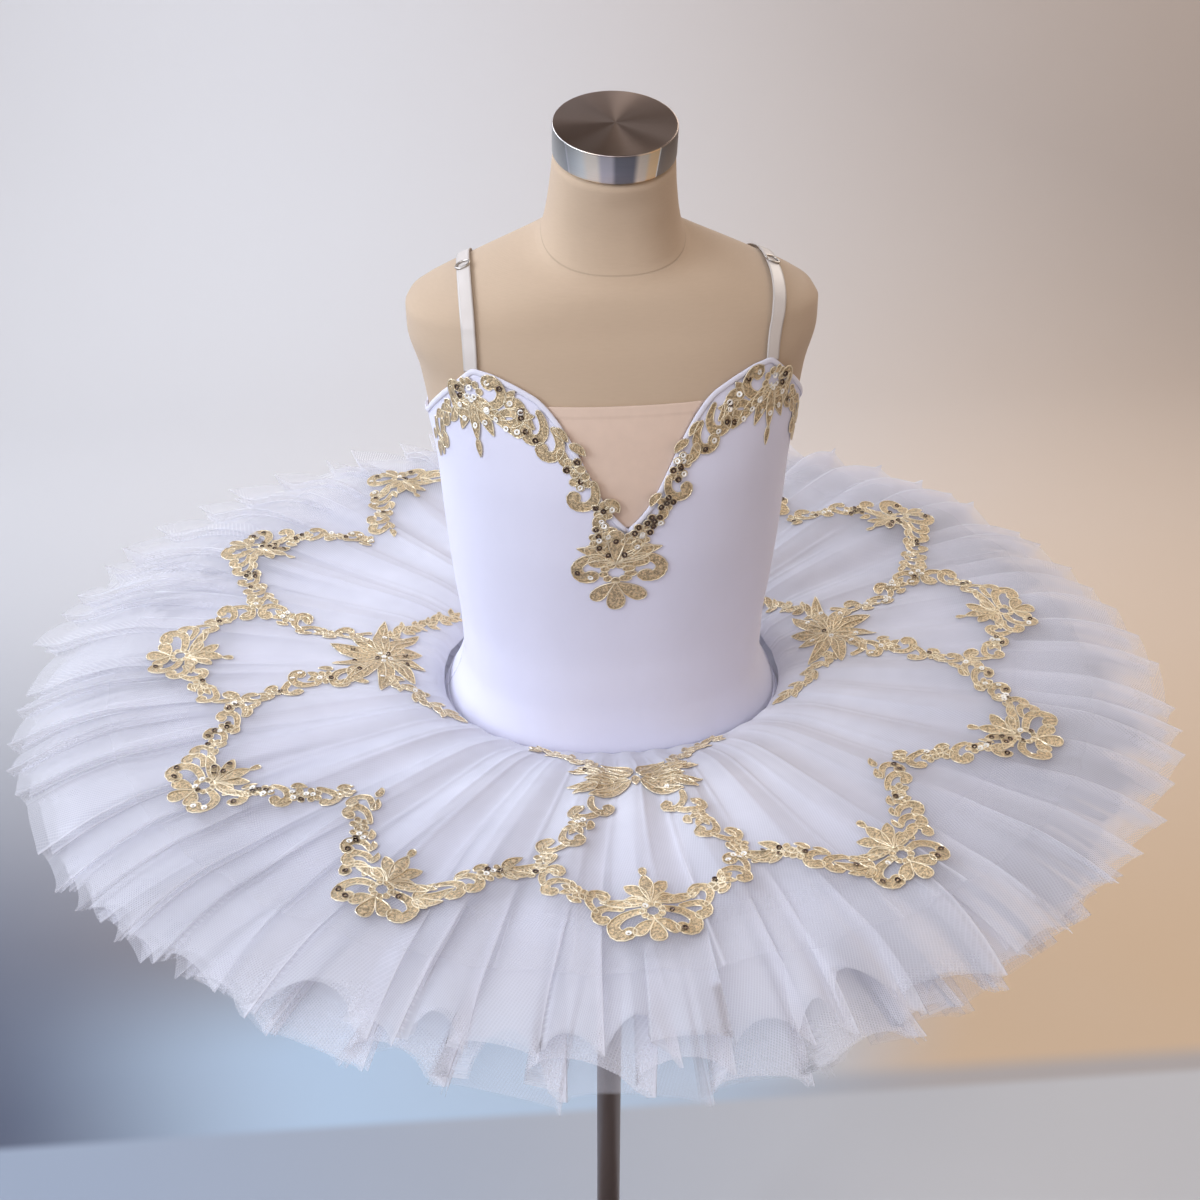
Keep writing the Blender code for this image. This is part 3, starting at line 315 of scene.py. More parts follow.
def overlay_creases(angle, radius):
    """How sharply the overlay is creased: thin ridges that fan out from the waist."""
    chance = np.random.default_rng(5)
    count = sizes().overlay_creases
    places = 360 * (np.arange(count) + chance.uniform(-0.35, 0.35, count)) / max(1, count)
    ends = chance.uniform(0.22, 0.46, count)
    sharp = np.zeros_like(radius)
    for place, end in zip(places, ends):
        aside = (angle - place - chance.uniform(-4, 4) * radius + 180) % 360 - 180
        aside = np.radians(aside) * radius
        wide = chance.uniform(0.8, 1.6) * MM + 0.003 * (radius - 0.12)
        ridge = np.exp(-np.abs(aside / wide) ** 1.3) * chance.uniform(0.4, 1.0)
        ridge = ridge * eased((radius - 0.125) / 0.03) * (1 - eased((radius - end) / 0.05))
        sharp = np.maximum(sharp, ridge)
    return sharp


def overlay_height(angle, radius):
    depth = 0.0026 * (0.35 + 0.65 * eased((radius - 0.13) / 0.10))
    depth = depth * (0.85 + 0.15 * sin(7 * angle + 40))
    folds = depth * cos(OVERLAY_FOLDS * angle + 22 * sin(5 * angle))
    return overlay_mean(angle, radius) + folds + 1.3 * MM * overlay_creases(angle, radius)


# ---- materials ------------------------------------------------------------------------------
class Wire:
    """What comes out of a node, reckoned with like a number."""

    def __init__(self, nodes, socket):
        self.nodes, self.socket = nodes, socket

    def __add__(self, other):
        return self.nodes.math("ADD", self, other)

    def __sub__(self, other):
        return self.nodes.math("SUBTRACT", self, other)

    def __mul__(self, other):
        return self.nodes.math("MULTIPLY", self, other)

    def __truediv__(self, other):
        return self.nodes.math("DIVIDE", self, other)


class Nodes:
    """Short ways to add nodes to a tree."""

    def __init__(self, tree):
        self.tree = tree

    def feed(self, socket, value):
        if isinstance(value, Wire):
            self.tree.links.new(value.socket, socket)
        else:
            socket.default_value = value

    def new(self, kind, settings=None, **inputs):
        """A node; inputs are named, or numbered as _0, and take a value or a wire."""
        node = self.tree.nodes.new("ShaderNode" + kind)
        for key, value in (settings or {}).items():
            setattr(node, key, value)
        for key, value in inputs.items():
            self.feed(node.inputs[int(key[1:]) if key[0] == "_" else key.replace("_", " ")], value)
        return node

    def add(self, kind, result=0, settings=None, **inputs):
        return Wire(self, self.new(kind, settings, **inputs).outputs[result])

    def math(self, operation, a, b=0.0):
        return self.add("Math", 0, {"operation": operation}, _0=a, _1=b)

    def vector(self, operation, a, b=(0, 0, 0), result=0):
        return self.add("VectorMath", result, {"operation": operation}, _0=a, _1=b)

    def split(self, vector):
        return [Wire(self, socket) for socket in self.new("SeparateXYZ", _0=vector).outputs]

    def ramp(self, value, low, high, first=0.0, last=1.0, kind="SMOOTHSTEP"):
        return self.add("MapRange", 0, {"interpolation_type": kind},
                        _0=value, _1=low, _2=high, _3=first, _4=last)

    def blend(self, factor, a, b):
        return self.add("Mix", 2, {"data_type": "RGBA"}, _0=factor, _6=a, _7=b)


class Finish(Nodes):
    """A material in the making, round a Principled shader."""

    def __init__(self, name, base, **sockets):
        self.material = bpy.data.materials.new(name)
        self.material.use_nodes = True
        super().__init__(self.material.node_tree)
        self.shader = self.tree.nodes["Principled BSDF"]
        self.base = (*base, 1)
        self.material.diffuse_color = self.base
        for socket, value in {"Base Color": self.base, **sockets}.items():
            self.shader.inputs[socket.replace("_", " ")].default_value = value

    def place(self):
        return self.add("TexCoord", "Object")

    def map(self, name="Cloth"):
        return self.add("UVMap", "UV", {"uv_map": name})

    def scaled(self, vector, *scale):
        return self.vector("MULTIPLY", vector, scale)

    def noise(self, vector, scale, detail=2.0, rough=0.5):
        return self.add(
            "TexNoise", "Fac", None, Vector=vector, Scale=scale, Detail=detail, Roughness=rough)

    def stripes(self, vector, pitch, direction="X"):
        """Soft lines this far apart across a direction of the coordinates."""
        return self.add("TexWave", "Fac", {"bands_direction": direction, "wave_profile": "SIN"},
                        Vector=vector, Scale=0.314 / pitch)

    def bump(self, height, depth, strength=1.0):
        bump = self.add("Bump", Height=height, Distance=depth, Strength=strength)
        self.feed(self.shader.inputs["Normal"], bump)

    def colour(self, wire):
        self.feed(self.shader.inputs["Base Color"], wire)

    def shade(self, share):
        return tuple(c * share for c in self.base[:3]) + (1,)

    def tones(self, factor, dark, light):
        """A mix of two shades of the base colour."""
        return self.blend(factor, self.shade(dark), self.shade(light))


def linen_finish(name):
    f = Finish(name, colours().linen, Roughness=0.92, Sheen_Weight=0.15, Sheen_Roughness=0.5,
               Specular_IOR_Level=0.15)
    at = f.place()
    weave = f.stripes(f.scaled(at, 1, 0.6, 0), 0.62 * MM) * f.stripes(at, 0.62 * MM, "Z")
    slub = f.noise(f.scaled(at, 1, 1, 7), 160, 4.0)
    tilt = math.radians(NECK_SEAM_TILT)
    level = f.vector("DOT_PRODUCT", at, (0, -math.sin(tilt), math.cos(tilt)), "Value")
    seam = f.ramp(f.math("ABSOLUTE", level - NECK_SEAM_LEVEL), 0.1 * MM, 0.6 * MM, 1.0, 0.0)
    body = f.blend(slub * 0.35, f.tones(f.noise(at, 11, 3.0), 0.93, 1.05), f.shade(0.80))
    f.colour(f.blend(seam * 0.45, body, f.shade(0.62)))
    f.bump(weave * 0.25 - seam * 1.2, 0.25 * MM, 0.7)
    return f.material


# Painted reflections in bands round the cap's rim, from left to right: where each starts and is
# full, and its tint.
RIM_REFLECTIONS = (
    (-0.86, -0.85, (1.0, 1.0, 1.0, 1)), (-0.84, -0.83, (0.86, 0.87, 0.83, 1)),
    (-0.66, -0.54, (0.95, 0.85, 0.72, 1)), (-0.42, -0.32, (0.55, 0.52, 0.56, 1)),
    (-0.18, -0.08, (0.17, 0.175, 0.21, 1)), (0.20, 0.32, (0.85, 0.73, 0.60, 1)),
    (0.42, 0.50, (1.0, 0.72, 0.42, 1)), (0.63, 0.64, (1.0, 1.0, 1.0, 1)),
    (0.65, 0.66, (0.27, 0.26, 0.26, 1)),
)


def steel_finish(name):
    f = Finish(name, colours().steel, Metallic=1.0, Roughness=0.30, Anisotropic=0.85)
    at = f.map("Turn")
    lines = f.noise(f.scaled(at, 2.0, 2600.0, 1.0), 1.0, 3.0, 0.6)
    tangent = f.add("Tangent", 0, {"direction_type": "UV_MAP", "uv_map": "Turn"})
    f.feed(f.shader.inputs["Tangent"], tangent)
    middle = f.vector("SUBTRACT", f.place(), (0, CAP_TOP_Y, 0))
    spoke = f.vector("NORMALIZE", f.scaled(middle, 1, 1, 0))
    # The top's colour is painted reflection: dark brown, with painted highlights in lighter fans
    # round its middle.
    highlight_fans = f.ramp(f.noise(spoke, 1.25, 0.0), 0.36, 0.64)
    top = f.blend(highlight_fans, (0.25, 0.17, 0.13, 1), (0.37, 0.28, 0.235, 1))
    # The rim's colour is painted reflection: light and dark bands of a reflected room, from left to
    # right.
    side, rim_reflections = f.split(spoke)[0], (0.66, 0.68, 0.67, 1)
    for start, full, tint in RIM_REFLECTIONS:
        rim_reflections = f.blend(f.ramp(side, start, full), rim_reflections, tint)
    rim = f.ramp(f.split(at)[1], 0.0412, 0.0428, kind="LINEAR")
    f.colour(f.blend(lines * 0.25, f.blend(rim, top, rim_reflections), f.shade(1.0)))
    f.bump(lines, 0.02 * MM, 0.5)
    return f.material


def ring_finish(name):
    f = Finish(name, (0.52, 0.48, 0.44), Metallic=1.0, Roughness=0.28)
    wear = f.noise(f.place(), 900, 3.0)
    f.colour(f.tones(wear, 0.75, 1.2))
    f.bump(wear, 0.03 * MM, 0.4)
    return f.material


def dark_steel_finish(name):
    f = Finish(name, colours().dark_steel, Metallic=0.65, Roughness=0.36)
    at = f.place()
    f.colour(f.tones(f.noise(f.scaled(at, 1, 1, 0.12), 45, 4.0), 0.75, 1.7))
    f.bump(f.noise(at, 1400), 0.04 * MM, 0.35)
    return f.material


def velvet_finish(name):
    f = Finish(name, colours().velvet, Roughness=0.85, Sheen_Weight=0.30, Sheen_Roughness=0.45,
               Specular_IOR_Level=0.12, Sheen_Tint=(0.92, 0.92, 1.0, 1))
    at = f.place()
    nap = f.noise(f.scaled(at, 1, 1, 0.45), 1700, 3.0, 0.6)
    brushed = f.noise(f.scaled(at, 1, 1, 0.35), 26, 4.0, 0.55)
    f.colour(f.tones(brushed, 0.955, 1.03))
    f.bump(nap * 0.5 + brushed * 0.6, 0.35 * MM, 0.5)
    return f.material


def knit_finish(name, base, pitch, roughness=0.75):
    """Fine knitted or woven strips: rows of stitches along their own length."""
    f = Finish(name, base, Roughness=roughness, Sheen_Weight=0.2, Specular_IOR_Level=0.25)
    at = f.map()
    soft = f.noise(at, 120, 3.0)
    f.colour(f.tones(soft, 0.94, 1.04))
    stitch = f.stripes(at, pitch) * f.stripes(at, pitch, "Y")
    f.bump(stitch * 0.3 + soft * 0.8, 0.25 * MM, 0.6)
    return f.material


def satin_finish(name):
    f = Finish(name, colours().satin, Roughness=0.36, Anisotropic=0.5, Sheen_Weight=0.15)
    at = f.map()
    edge = f.ramp(f.math("ABSOLUTE", f.split(at)[0]), 3.2 * MM, 4.4 * MM, kind="LINEAR")
    f.colour(f.tones(edge * 0.6, 1.0, 0.80))
    f.bump(f.stripes(at, 0.8 * MM, "Y") * (edge + 0.25), 0.12 * MM, 0.6)
    return f.material


def net_finish(name, hole_cover, thread_cover, fold_cover, hem_share, hem_at):
    """Net: diagonal threads with air between, doubled and whiter along its folds."""
    f = Finish(name, colours().net, Roughness=0.7, Sheen_Weight=0.1, Specular_IOR_Level=0.2)
    at = f.map()
    x, y = f.split(f.scaled(at, *[1 / sizes().net_hole] * 3))[:2]
    threads = 0.0
    for share_x, share_y, weight in ((1.0, 0.35, 1.0), (0.6, -1.0, 0.6)):
        line = f.math("FRACT", x * share_x + y * share_y)
        thread = f.ramp(f.math("ABSOLUTE", line - 0.5), 0.24, 0.44, 0.0, weight)
        threads = f.math("MAXIMUM", threads, thread)
    thin = f.ramp(f.split(at)[1], THIN_FROM, hem_at, 1.0, hem_share)
    thin = thin * (f.noise(at, 22) * 0.32 + 0.84)
    cover = f.ramp(
        threads, 0.0, 1.0, thin * hole_cover, (thin * 0.93 + 0.07) * thread_cover, "LINEAR")
    fold = f.add("Attribute", "Fac", {"attribute_name": "Fold"})
    cover = f.math("MAXIMUM", cover, fold * fold_cover * (thin * 0.45 + 0.55))
    principled = Wire(f, f.shader.outputs[0])
    through = f.add("BsdfTranslucent", Color=f.shade(1.0))
    lit = f.add("MixShader", Fac=0.36, _1=principled, _2=through)
    both = f.add("MixShader", Fac=cover, _1=f.add("BsdfTransparent"), _2=lit)
    f.feed(f.tree.nodes["Material Output"].inputs["Surface"], both)
    return f.material


def cord_finish(name):
    f = Finish(name, colours().cord, Metallic=0.8, Roughness=0.30)
    at = f.place()
    f.colour(f.tones(f.noise(at, 70), 0.82, 1.18))
    f.bump(f.stripes(f.scaled(at, 1, 0.8, 1.2), 0.55 * MM, "DIAGONAL"), 0.12 * MM, 0.8)
    return f.material


def thread_finish(name):
    f = Finish(name, colours().thread, Metallic=0.45, Roughness=0.36, Sheen_Weight=0.1)
    at = f.place()
    rows = f.stripes(f.scaled(at, 1, 1, 1.3), 0.75 * MM, "DIAGONAL")
    mesh = (rows + f.stripes(f.scaled(at, 1, -1, 1), 1.1 * MM, "DIAGONAL")) * 0.5
    # Mottling of pale and dark threads; its brightest spots are partly painted glints of the gold
    # thread.
    mottle_and_glints = f.ramp(f.noise(at, 560, 3.0, 0.7), 0.34, 0.68)
    f.colour(f.blend(mesh * 0.35, f.tones(mottle_and_glints, 0.42, 1.75), f.shade(1.5)))
    f.bump(mesh + mottle_and_glints * 1.2, 0.30 * MM, 0.9)
    return f.material


def sequin_finish(name, base, roughness, metallic):
    f = Finish(name, base, Metallic=metallic, Roughness=roughness, Coat_Weight=0.5,
               Coat_Roughness=0.05)
    f.colour(f.tones(f.noise(f.place(), 300, 1.0), 0.7, 1.25))
    f.bump(f.noise(f.place(), 500, 1.0), 0.05 * MM, 0.4)
    return f.material


def material(name, make, *extra):
    return bpy.data.materials.get(name) or make(name, *extra)


def velvet():
    return material("Stretch velvet", velvet_finish)


# ---- meshes ---------------------------------------------------------------------------------
def add_piece(name, mesh, materials, nodes=()):
    """A finished piece of the object: in the scene, on its body and in place of its solids."""
    piece = bpy.data.objects.new(name, mesh)
    bpy.context.scene.collection.objects.link(piece)
    for entry in materials:
        mesh.materials.append(entry)
    mesh.shade_smooth()
    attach(piece, "root")
    if nodes:
        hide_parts(*nodes)
    return piece


def mesh_from(bm, name):
    mesh = bpy.data.meshes.new(name)
    bm.to_mesh(mesh)
    bm.free()
    return mesh


def reworked(mesh, *changes):
    """The mesh after bmesh operators: each change is an operator and a way to read its input."""
    bm = bmesh.new()
    bm.from_mesh(mesh)
    for change, choose in changes:
        change(bm, **choose(bm))
    bm.to_mesh(mesh)
    bm.free()


def bent_grid(name, columns, rows, place, closed=False):
    """A flat grid bent into shape: place(u, v) gives points and the cloth's own coordinates.

    A third result, where there is one, says how sharply the cloth is folded at each point.
    """
    bm = bmesh.new()
    bm.loops.layers.uv.new("Cloth")
    bmesh.ops.create_grid(bm, x_segments=columns, y_segments=rows, size=0.5)
    mesh = mesh_from(bm, name)
    share = points_of(mesh)[:, :2] + 0.5
    points, cloth, *folded = place(share[:, 0], share[:, 1])
    mesh.vertices.foreach_set("co", points.ravel())
    corners = np.empty(len(mesh.loops), int)
    mesh.loops.foreach_get("vertex_index", corners)
    mesh.uv_layers["Cloth"].data.foreach_set("uv", cloth[corners].ravel())
    if folded:
        mesh.attributes.new("Fold", "FLOAT", "POINT").data.foreach_set("value", folded[0])
    if closed:
        reworked(
            mesh,
            (bmesh.ops.remove_doubles, lambda bm: {"verts": bm.verts, "dist": 0.01 * MM}),
            (bmesh.ops.dissolve_degenerate, lambda bm: {"edges": bm.edges, "dist": 0.001 * MM}))
    mesh.update()
    return mesh


def points_of(mesh):
    flat = np.empty(len(mesh.vertices) * 3)
    mesh.vertices.foreach_get("co", flat)
    return flat.reshape(-1, 3)


def wall(piece, thickness):
    solid = piece.modifiers.new("Wall", "SOLIDIFY")
    solid.thickness = thickness
    solid.offset = -1.0
    solid.use_even_offset = True
    return piece


def spun(outline, steps, closed=False):
    """A bmesh turned round the upright axis from its half outline of (radius, height) points."""
    bm = bmesh.new()
    points = [bm.verts.new((radius, 0, height)) for radius, height in outline]
    nexts = points[1:] + points[:1] if closed else points[1:]
    edges = [bm.edges.new(pair) for pair in zip(points, nexts)]
    whirl(bm, points + edges, steps)
    return bm


def whirl(bm, outline, steps):
    bmesh.ops.spin(bm, geom=outline, cent=(0, 0, 0), axis=(0, 0, 1), angle=math.tau, steps=steps,
                   use_merge=True)
    bmesh.ops.remove_doubles(bm, verts=bm.verts, dist=0.01 * MM)
    bmesh.ops.recalc_face_normals(bm, faces=bm.faces)


def turned(name, profile, segments, matrix=None):
    """A turned piece from its half outline, top to bottom, with its own coordinates."""
    bm = spun(profile, segments)
    uv = bm.loops.layers.uv.new("Turn")
    for face in bm.faces:
        middle = face.calc_center_median()
        turn = math.atan2(middle.y, middle.x)
        for loop in face.loops:
            x, y, z = loop.vert.co
            radius = math.hypot(x, y)
            own = math.atan2(y, x) if radius > 1e-6 else turn
            own += math.tau * round((turn - own) / math.tau)
            loop[uv].uv = (own / math.tau, radius - z)
    if matrix:
        bmesh.ops.transform(bm, matrix=matrix, verts=bm.verts)
    return mesh_from(bm, name)


def rounded(points, radius, steps=3):
    """The outline with its inner corners rounded."""
    out = [points[0]]
    for before, corner, after in zip(points, points[1:], points[2:]):
        corner, before, after = Vector(corner), Vector(before), Vector(after)
        reach = min(radius, (before - corner).length / 2.2, (after - corner).length / 2.2)
        start = corner + (before - corner).normalized() * reach
        end = corner + (after - corner).normalized() * reach
        for k in range(steps + 1):
            t = k / steps
            out.append(start.lerp(corner, t).lerp(corner.lerp(end, t), t))
    out.append(points[-1])
    return [tuple(point) for point in out]


# ---- the dress form -------------------------------------------------------------------------
CAP_LEAN = math.radians(CAP_TILT)
NECK_RADIUS = CAP_RADIUS - 0.5 * MM
# Shares of the cover's length where its underside ends, its neck begins and the neck is closed.
COVER_FOOT, COVER_NECK, COVER_TOP = 0.05, 0.94, 0.975
BORE = 0.0128                     # radius of the hole for the pole


def cap_matrix():
    top = Matrix.Translation((0, CAP_TOP_Y, WAIST_ABOVE_FLOOR + CAP_TOP_HEIGHT))
    return top @ Matrix.Rotation(CAP_LEAN, 4, "X")


def make_torso():
    seat = cap_matrix() @ Vector((0, 0, -CAP_HEIGHT - 0.3 * MM))

    def place(u, v):
        angle = 360 * u
        height = -0.170 + 0.518 * np.clip((v - COVER_FOOT) / (COVER_NECK - COVER_FOOT), 0, 1)
        points = on_form(angle, height)
        points[:, :2] *= np.clip(v / COVER_FOOT, 0, 1)[:, None]
        ring = np.stack((
            seat.x + NECK_RADIUS * sin(angle),
            seat.y - NECK_RADIUS * cos(angle) * math.cos(CAP_LEAN),
            seat.z - NECK_RADIUS * cos(angle) * math.sin(CAP_LEAN)), axis=-1)
        up = np.clip((v - COVER_NECK) / (COVER_TOP - COVER_NECK), 0, 1)[:, None]
        points = points + (ring - points) * up
        close = np.clip((v - COVER_TOP) / (1 - COVER_TOP), 0, 1)[:, None]
        points = points + (np.array(seat) - points) * close
        return points, np.stack((angle * 0.0022, height), axis=-1)

    mesh = bent_grid("form_torso_cover", 120, 130, place, closed=True)
    add_piece("form_torso_cover", mesh, [material("Linen cover", linen_finish)], ["form_torso"])


def make_cap():
    outline = rounded(
        ((0, 0), (CAP_RADIUS, 0), (CAP_RADIUS, -CAP_HEIGHT), (0, -CAP_HEIGHT)), 1.3 * MM, 4)
    mesh = turned("neck_cap_turned", outline, 128, cap_matrix())
    add_piece("neck_cap_turned", mesh, [material("Brushed steel", steel_finish)],
              ["form_neck_cap"])


def make_stand():
    low, high = (Vector(corner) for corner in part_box("form_collar"))
    collar = rounded(((BORE, high.z), (high.x, high.z), (high.x, low.z), (BORE, low.z)), 1.2 * MM)
    bottom, top = (Vector(corner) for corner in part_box("form_pole"))
    joint = WAIST_ABOVE_FLOOR - 0.46
    pole = [(0, top.z), (0.0125, top.z), (0.0125, joint + 0.012), (BORE, joint + 0.011),
            (BORE, joint), (0.0122, joint - 0.001), (0.0122, bottom.z), (0, bottom.z)]
    base = rounded((
        (BORE, 0.038), (0.018, 0.038), (0.0205, 0.012), (0.030, 0.0088), (0.155, 0.0080),
        (0.160, 0.0055), (0.160, 0.0), (0, 0)), 1.4 * MM)
    for part, outline, segments in (
        ("collar", collar + [collar[0]], 48), ("pole", pole, 48),
        ("base", [(0, 0.003), (BORE, 0.003)] + base, 96),
    ):
        mesh = turned(f"stand_{part}", outline, segments)
        steel = material("Dark steel", dark_steel_finish)
        add_piece(f"stand_{part}", mesh, [steel], [f"form_{part}"])


# ---- bodice, insert, piping and brief -------------------------------------------------------
def edge_height(table, angle):
    return np.interp(angle, table[:, 0], table[:, 1])


def neckline(angle):
    """Top edge of the front, a little softer than the solid's."""
    away = np.abs(angle)
    steps = [edge_height(FRONT_EDGE, np.abs(away + d)) for d in (-1.5, -0.5, 0.5, 1.5)]
    soft = sum(steps) / 4
    return np.where(away < 2.5, edge_height(FRONT_EDGE, away), soft)


def panel(name, angles, bottom, top, gap, columns, rows):
    """A stretched velvet panel: its cloth lies on the form between two edges."""
    def place(u, v):
        angle = angles[0] + (angles[1] - angles[0]) * u
        low, high = bottom(angle), top(angle)
        height = low + (high - low) * v
        ease = 0.25 * MM * sin(angle * 7 + height * 900) * sin(height * 2600)
        points = on_form(angle, height, gap + CLOTH_WALL + ease)
        return points, np.stack((np.radians(angle) * 0.12, height), axis=-1)

    mesh = bent_grid(name, columns, rows, place)
    piece = add_piece(name, mesh, [velvet()], [name.removesuffix("_cloth")])
    return wall(piece, 1.0 * MM)


def path_length(points):
    return float(np.linalg.norm(np.diff(points, axis=0), axis=1).sum())


def strip(name, centre, across, normal, section_points, closed):
    """A strip swept along a line: section_points are (sideways, out) pairs of its cross section."""
    count, around = len(centre), len(section_points)
    columns = around if closed else around - 1
    shape = np.array(section_points)

    def place(u, v):
        i = np.rint(v * (count - 1)).astype(int)
        j = np.rint(u * columns).astype(int) % around
        points = centre[i] + across[i] * shape[j, :1] + normal[i] * shape[j, 1:]
        return points, np.stack((shape[j, 0], v * path_length(centre)), axis=-1)

    return bent_grid(name, columns, count - 1, place, closed)


def sideways(centre, normal):
    """Sideways directions for points with surface normals along a line."""
    return unit(np.cross(unit(np.gradient(centre, axis=0)), normal))


def make_piping(name, side):
    angle = np.concatenate((np.linspace(0.25, 44, 110), np.linspace(44.5, 89.9, 60)))
    height = neckline(angle)
    normal = form_normal(side * angle, height)
    centre = on_form(side * angle, height, CLOTH_OUT)
    inward = sideways(centre, normal) * side
    inward[0] = (0, 0, -1)
    half = sizes().piping / 2
    centre = centre + inward * half * 0.72
    ring = [(half * math.cos(t), 0.75 * MM * math.sin(t) + 0.35 * MM)
            for t in np.linspace(0, math.tau, 10, endpoint=False)]
    mesh = strip(name, centre, inward, normal, ring[::side], True)
    reworked(
        mesh,
        (bmesh.ops.holes_fill,
         lambda bm: {"edges": [e for e in bm.edges if e.is_boundary], "sides": 0}),
        (bmesh.ops.recalc_face_normals, lambda bm: {"faces": bm.faces}))
    finish = material("Piping knit", knit_finish, colours().piping, 0.7 * MM)
    return add_piece(name, mesh, [finish], [name.replace("piping", "binding")])


def make_insert():
    reach = [section(np.array(row[0]), np.array(row[1]))[0] for row in FRONT_EDGE]

    def place(u, v):
        height = 0.1325 + (INSERT_TOP + 0.0004 - 0.1325) * v
        half = np.interp(height, FRONT_EDGE[:9, 1], reach[:9]) + 1.2 * MM
        x = half * (2 * u - 1)
        angle = np.sign(x) * angle_at(x, height)
        hem = 0.35 * MM * (eased((height - INSERT_TOP + 0.0072) / 0.0008))
        points = on_form(angle, height, CLOTH_GAP - 0.4 * MM + hem)
        return points, np.stack((x, height), axis=-1)

    finish = material("Insert knit", knit_finish, colours().skin, 0.6 * MM, 0.6)
    piece = add_piece("neckline_panel", bent_grid("neckline_panel", 24, 90, place), [finish],
                      ["neckline_insert"])
    wall(piece, 0.6 * MM)


def waist_seam(angle):
    return WAIST_SEAM


def back_edge(angle):
    return edge_height(BACK_EDGE, np.minimum(angle, 360 - angle))


def make_bodice():
    front = panel("bodice_front_cloth", (-90, 90), waist_seam, neckline, CLOTH_GAP, 144, 56)
    back = panel("bodice_back_cloth", (90, 270), waist_seam, back_edge, CLOTH_GAP, 96, 40)
    edges = [make_piping("piping_right", 1), make_piping("piping_left", -1)]
    make_insert()


def leg_edge(angle):
    middle = np.abs((np.asarray(angle) + 90) % 180 - 90)
    return -0.1665 + 0.0745 * eased((middle - 32) / 50)


def make_brief():
    for name, angles in (("brief_front_cloth", (-90, 90)), ("brief_back_cloth", (90, 270))):
        piece = panel(name, angles, leg_edge, waist_seam, BRIEF_GAP, 96, 24)
    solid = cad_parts["brief_gusset"]
    solid = bpy.data.objects[solid] if isinstance(solid, str) else solid
    for slot in solid.material_slots:
        slot.link = "OBJECT"
        slot.material = velvet()


# ---- straps ---------------------------------------------------------------------------------
def shoulder_height(x):
    heights = np.linspace(0.263, 0.300, 400)
    widths = form_size(HALF_WIDTH, heights)
    return float(np.interp(-x, -widths, heights))


def strap_line(side, back):
    bottom, start_x, dip = (0.1775, 0.092, 0.002) if back else (0.2405, 0.1025, 0.004)
    top_x = 0.1125 if side > 0 else 0.1040
    summit = shoulder_height(top_x)
    t = np.linspace(0, 1, 70)
    height = bottom - dip * (1 - t) + (summit - bottom) * np.sin(t * math.pi / 2)
    angle = angle_at(start_x + (top_x - start_x) * eased(t), height)
    return side * (180 - angle if back else angle), height


def make_straps():
    satin = material("Satin elastic", satin_finish)
    crown = np.linspace(-1, 1, 9)
    rise = 0.25 * MM * (1 - crown**4) + 0.18 * MM * (np.abs(crown) > 0.8)
    shape = list(zip(crown * sizes().strap / 2, rise))
    for side, word in ((1, "right"), (-1, "left")):
        for end in ("front", "back"):
            angle, height = strap_line(side, end == "back")
            normal = form_normal(angle, height)
            centre = on_form(angle, height, CLOTH_OUT)
            name = f"strap_{word}_{end}_ribbon"
            mesh = strip(name, centre, sideways(centre, normal), normal, shape, False)
            piece = add_piece(name, mesh, [satin], [f"strap_{word}_{end}"])
            wall(piece, 0.8 * MM)
        make_strap_ring(word, side)


def make_strap_ring(word, side):
    """The ring on the shoulder where the strap turns over."""
    angle, height = (line[-1] for line in strap_line(side, False))
    normal = Vector(form_normal(angle, height))
    centre = Vector(on_form(angle, height, CLOTH_OUT + 0.9 * MM))
    forward = Vector((0, -1, 0))
    forward = (forward - normal * forward.dot(normal)).normalized()
    turn = Matrix((forward.cross(normal), forward, normal)).transposed().to_4x4()
    upright = Matrix.Translation((5.2 * MM, 0, 0)) @ Matrix.Rotation(math.pi / 2, 4, "X")
    bm = bmesh.new()
    circle = bmesh.ops.create_circle(bm, segments=10, radius=0.8 * MM, matrix=upright)["verts"]
    whirl(bm, circle + list({e for v in circle for e in v.link_edges}), 40)
    bmesh.ops.transform(bm, matrix=Matrix.Translation(centre) @ turn, verts=bm.verts)
    add_piece(f"ring_{word}", mesh_from(bm, f"ring_{word}"), [material("Ring metal", ring_finish)],
              [f"strap_ring_{word}"])


# ---- the skirt ------------------------------------------------------------------------------
def make_overlay():
    def place(u, v):
        angle = 360 * u
        inner, hem = overlay_inner(angle), waist_radius(angle) + PLATE_HEM
        hem = hem + 1.2 * MM * sin(OVERLAY_FOLDS * angle) + 0.8 * MM * sin(97 * angle)
        radius = hem + (inner - hem) * v
        height = overlay_height(angle, radius) + 0.6 * MM
        cloth = np.stack((np.radians(angle) * 0.30, radius), axis=-1)
        return plan_point(angle, radius, height), cloth, overlay_creases(angle, radius)

    finish = material("Overlay net", net_finish, 0.88, 0.94, 0.97, 0.10,
                      THIN_OVERLAY_HEM)
    mesh = bent_grid("skirt_overlay", OVERLAY_COLUMNS, OVERLAY_ROWS, place, closed=True)
    piece = add_piece("skirt_overlay", mesh, [finish], ["skirt_plate"])


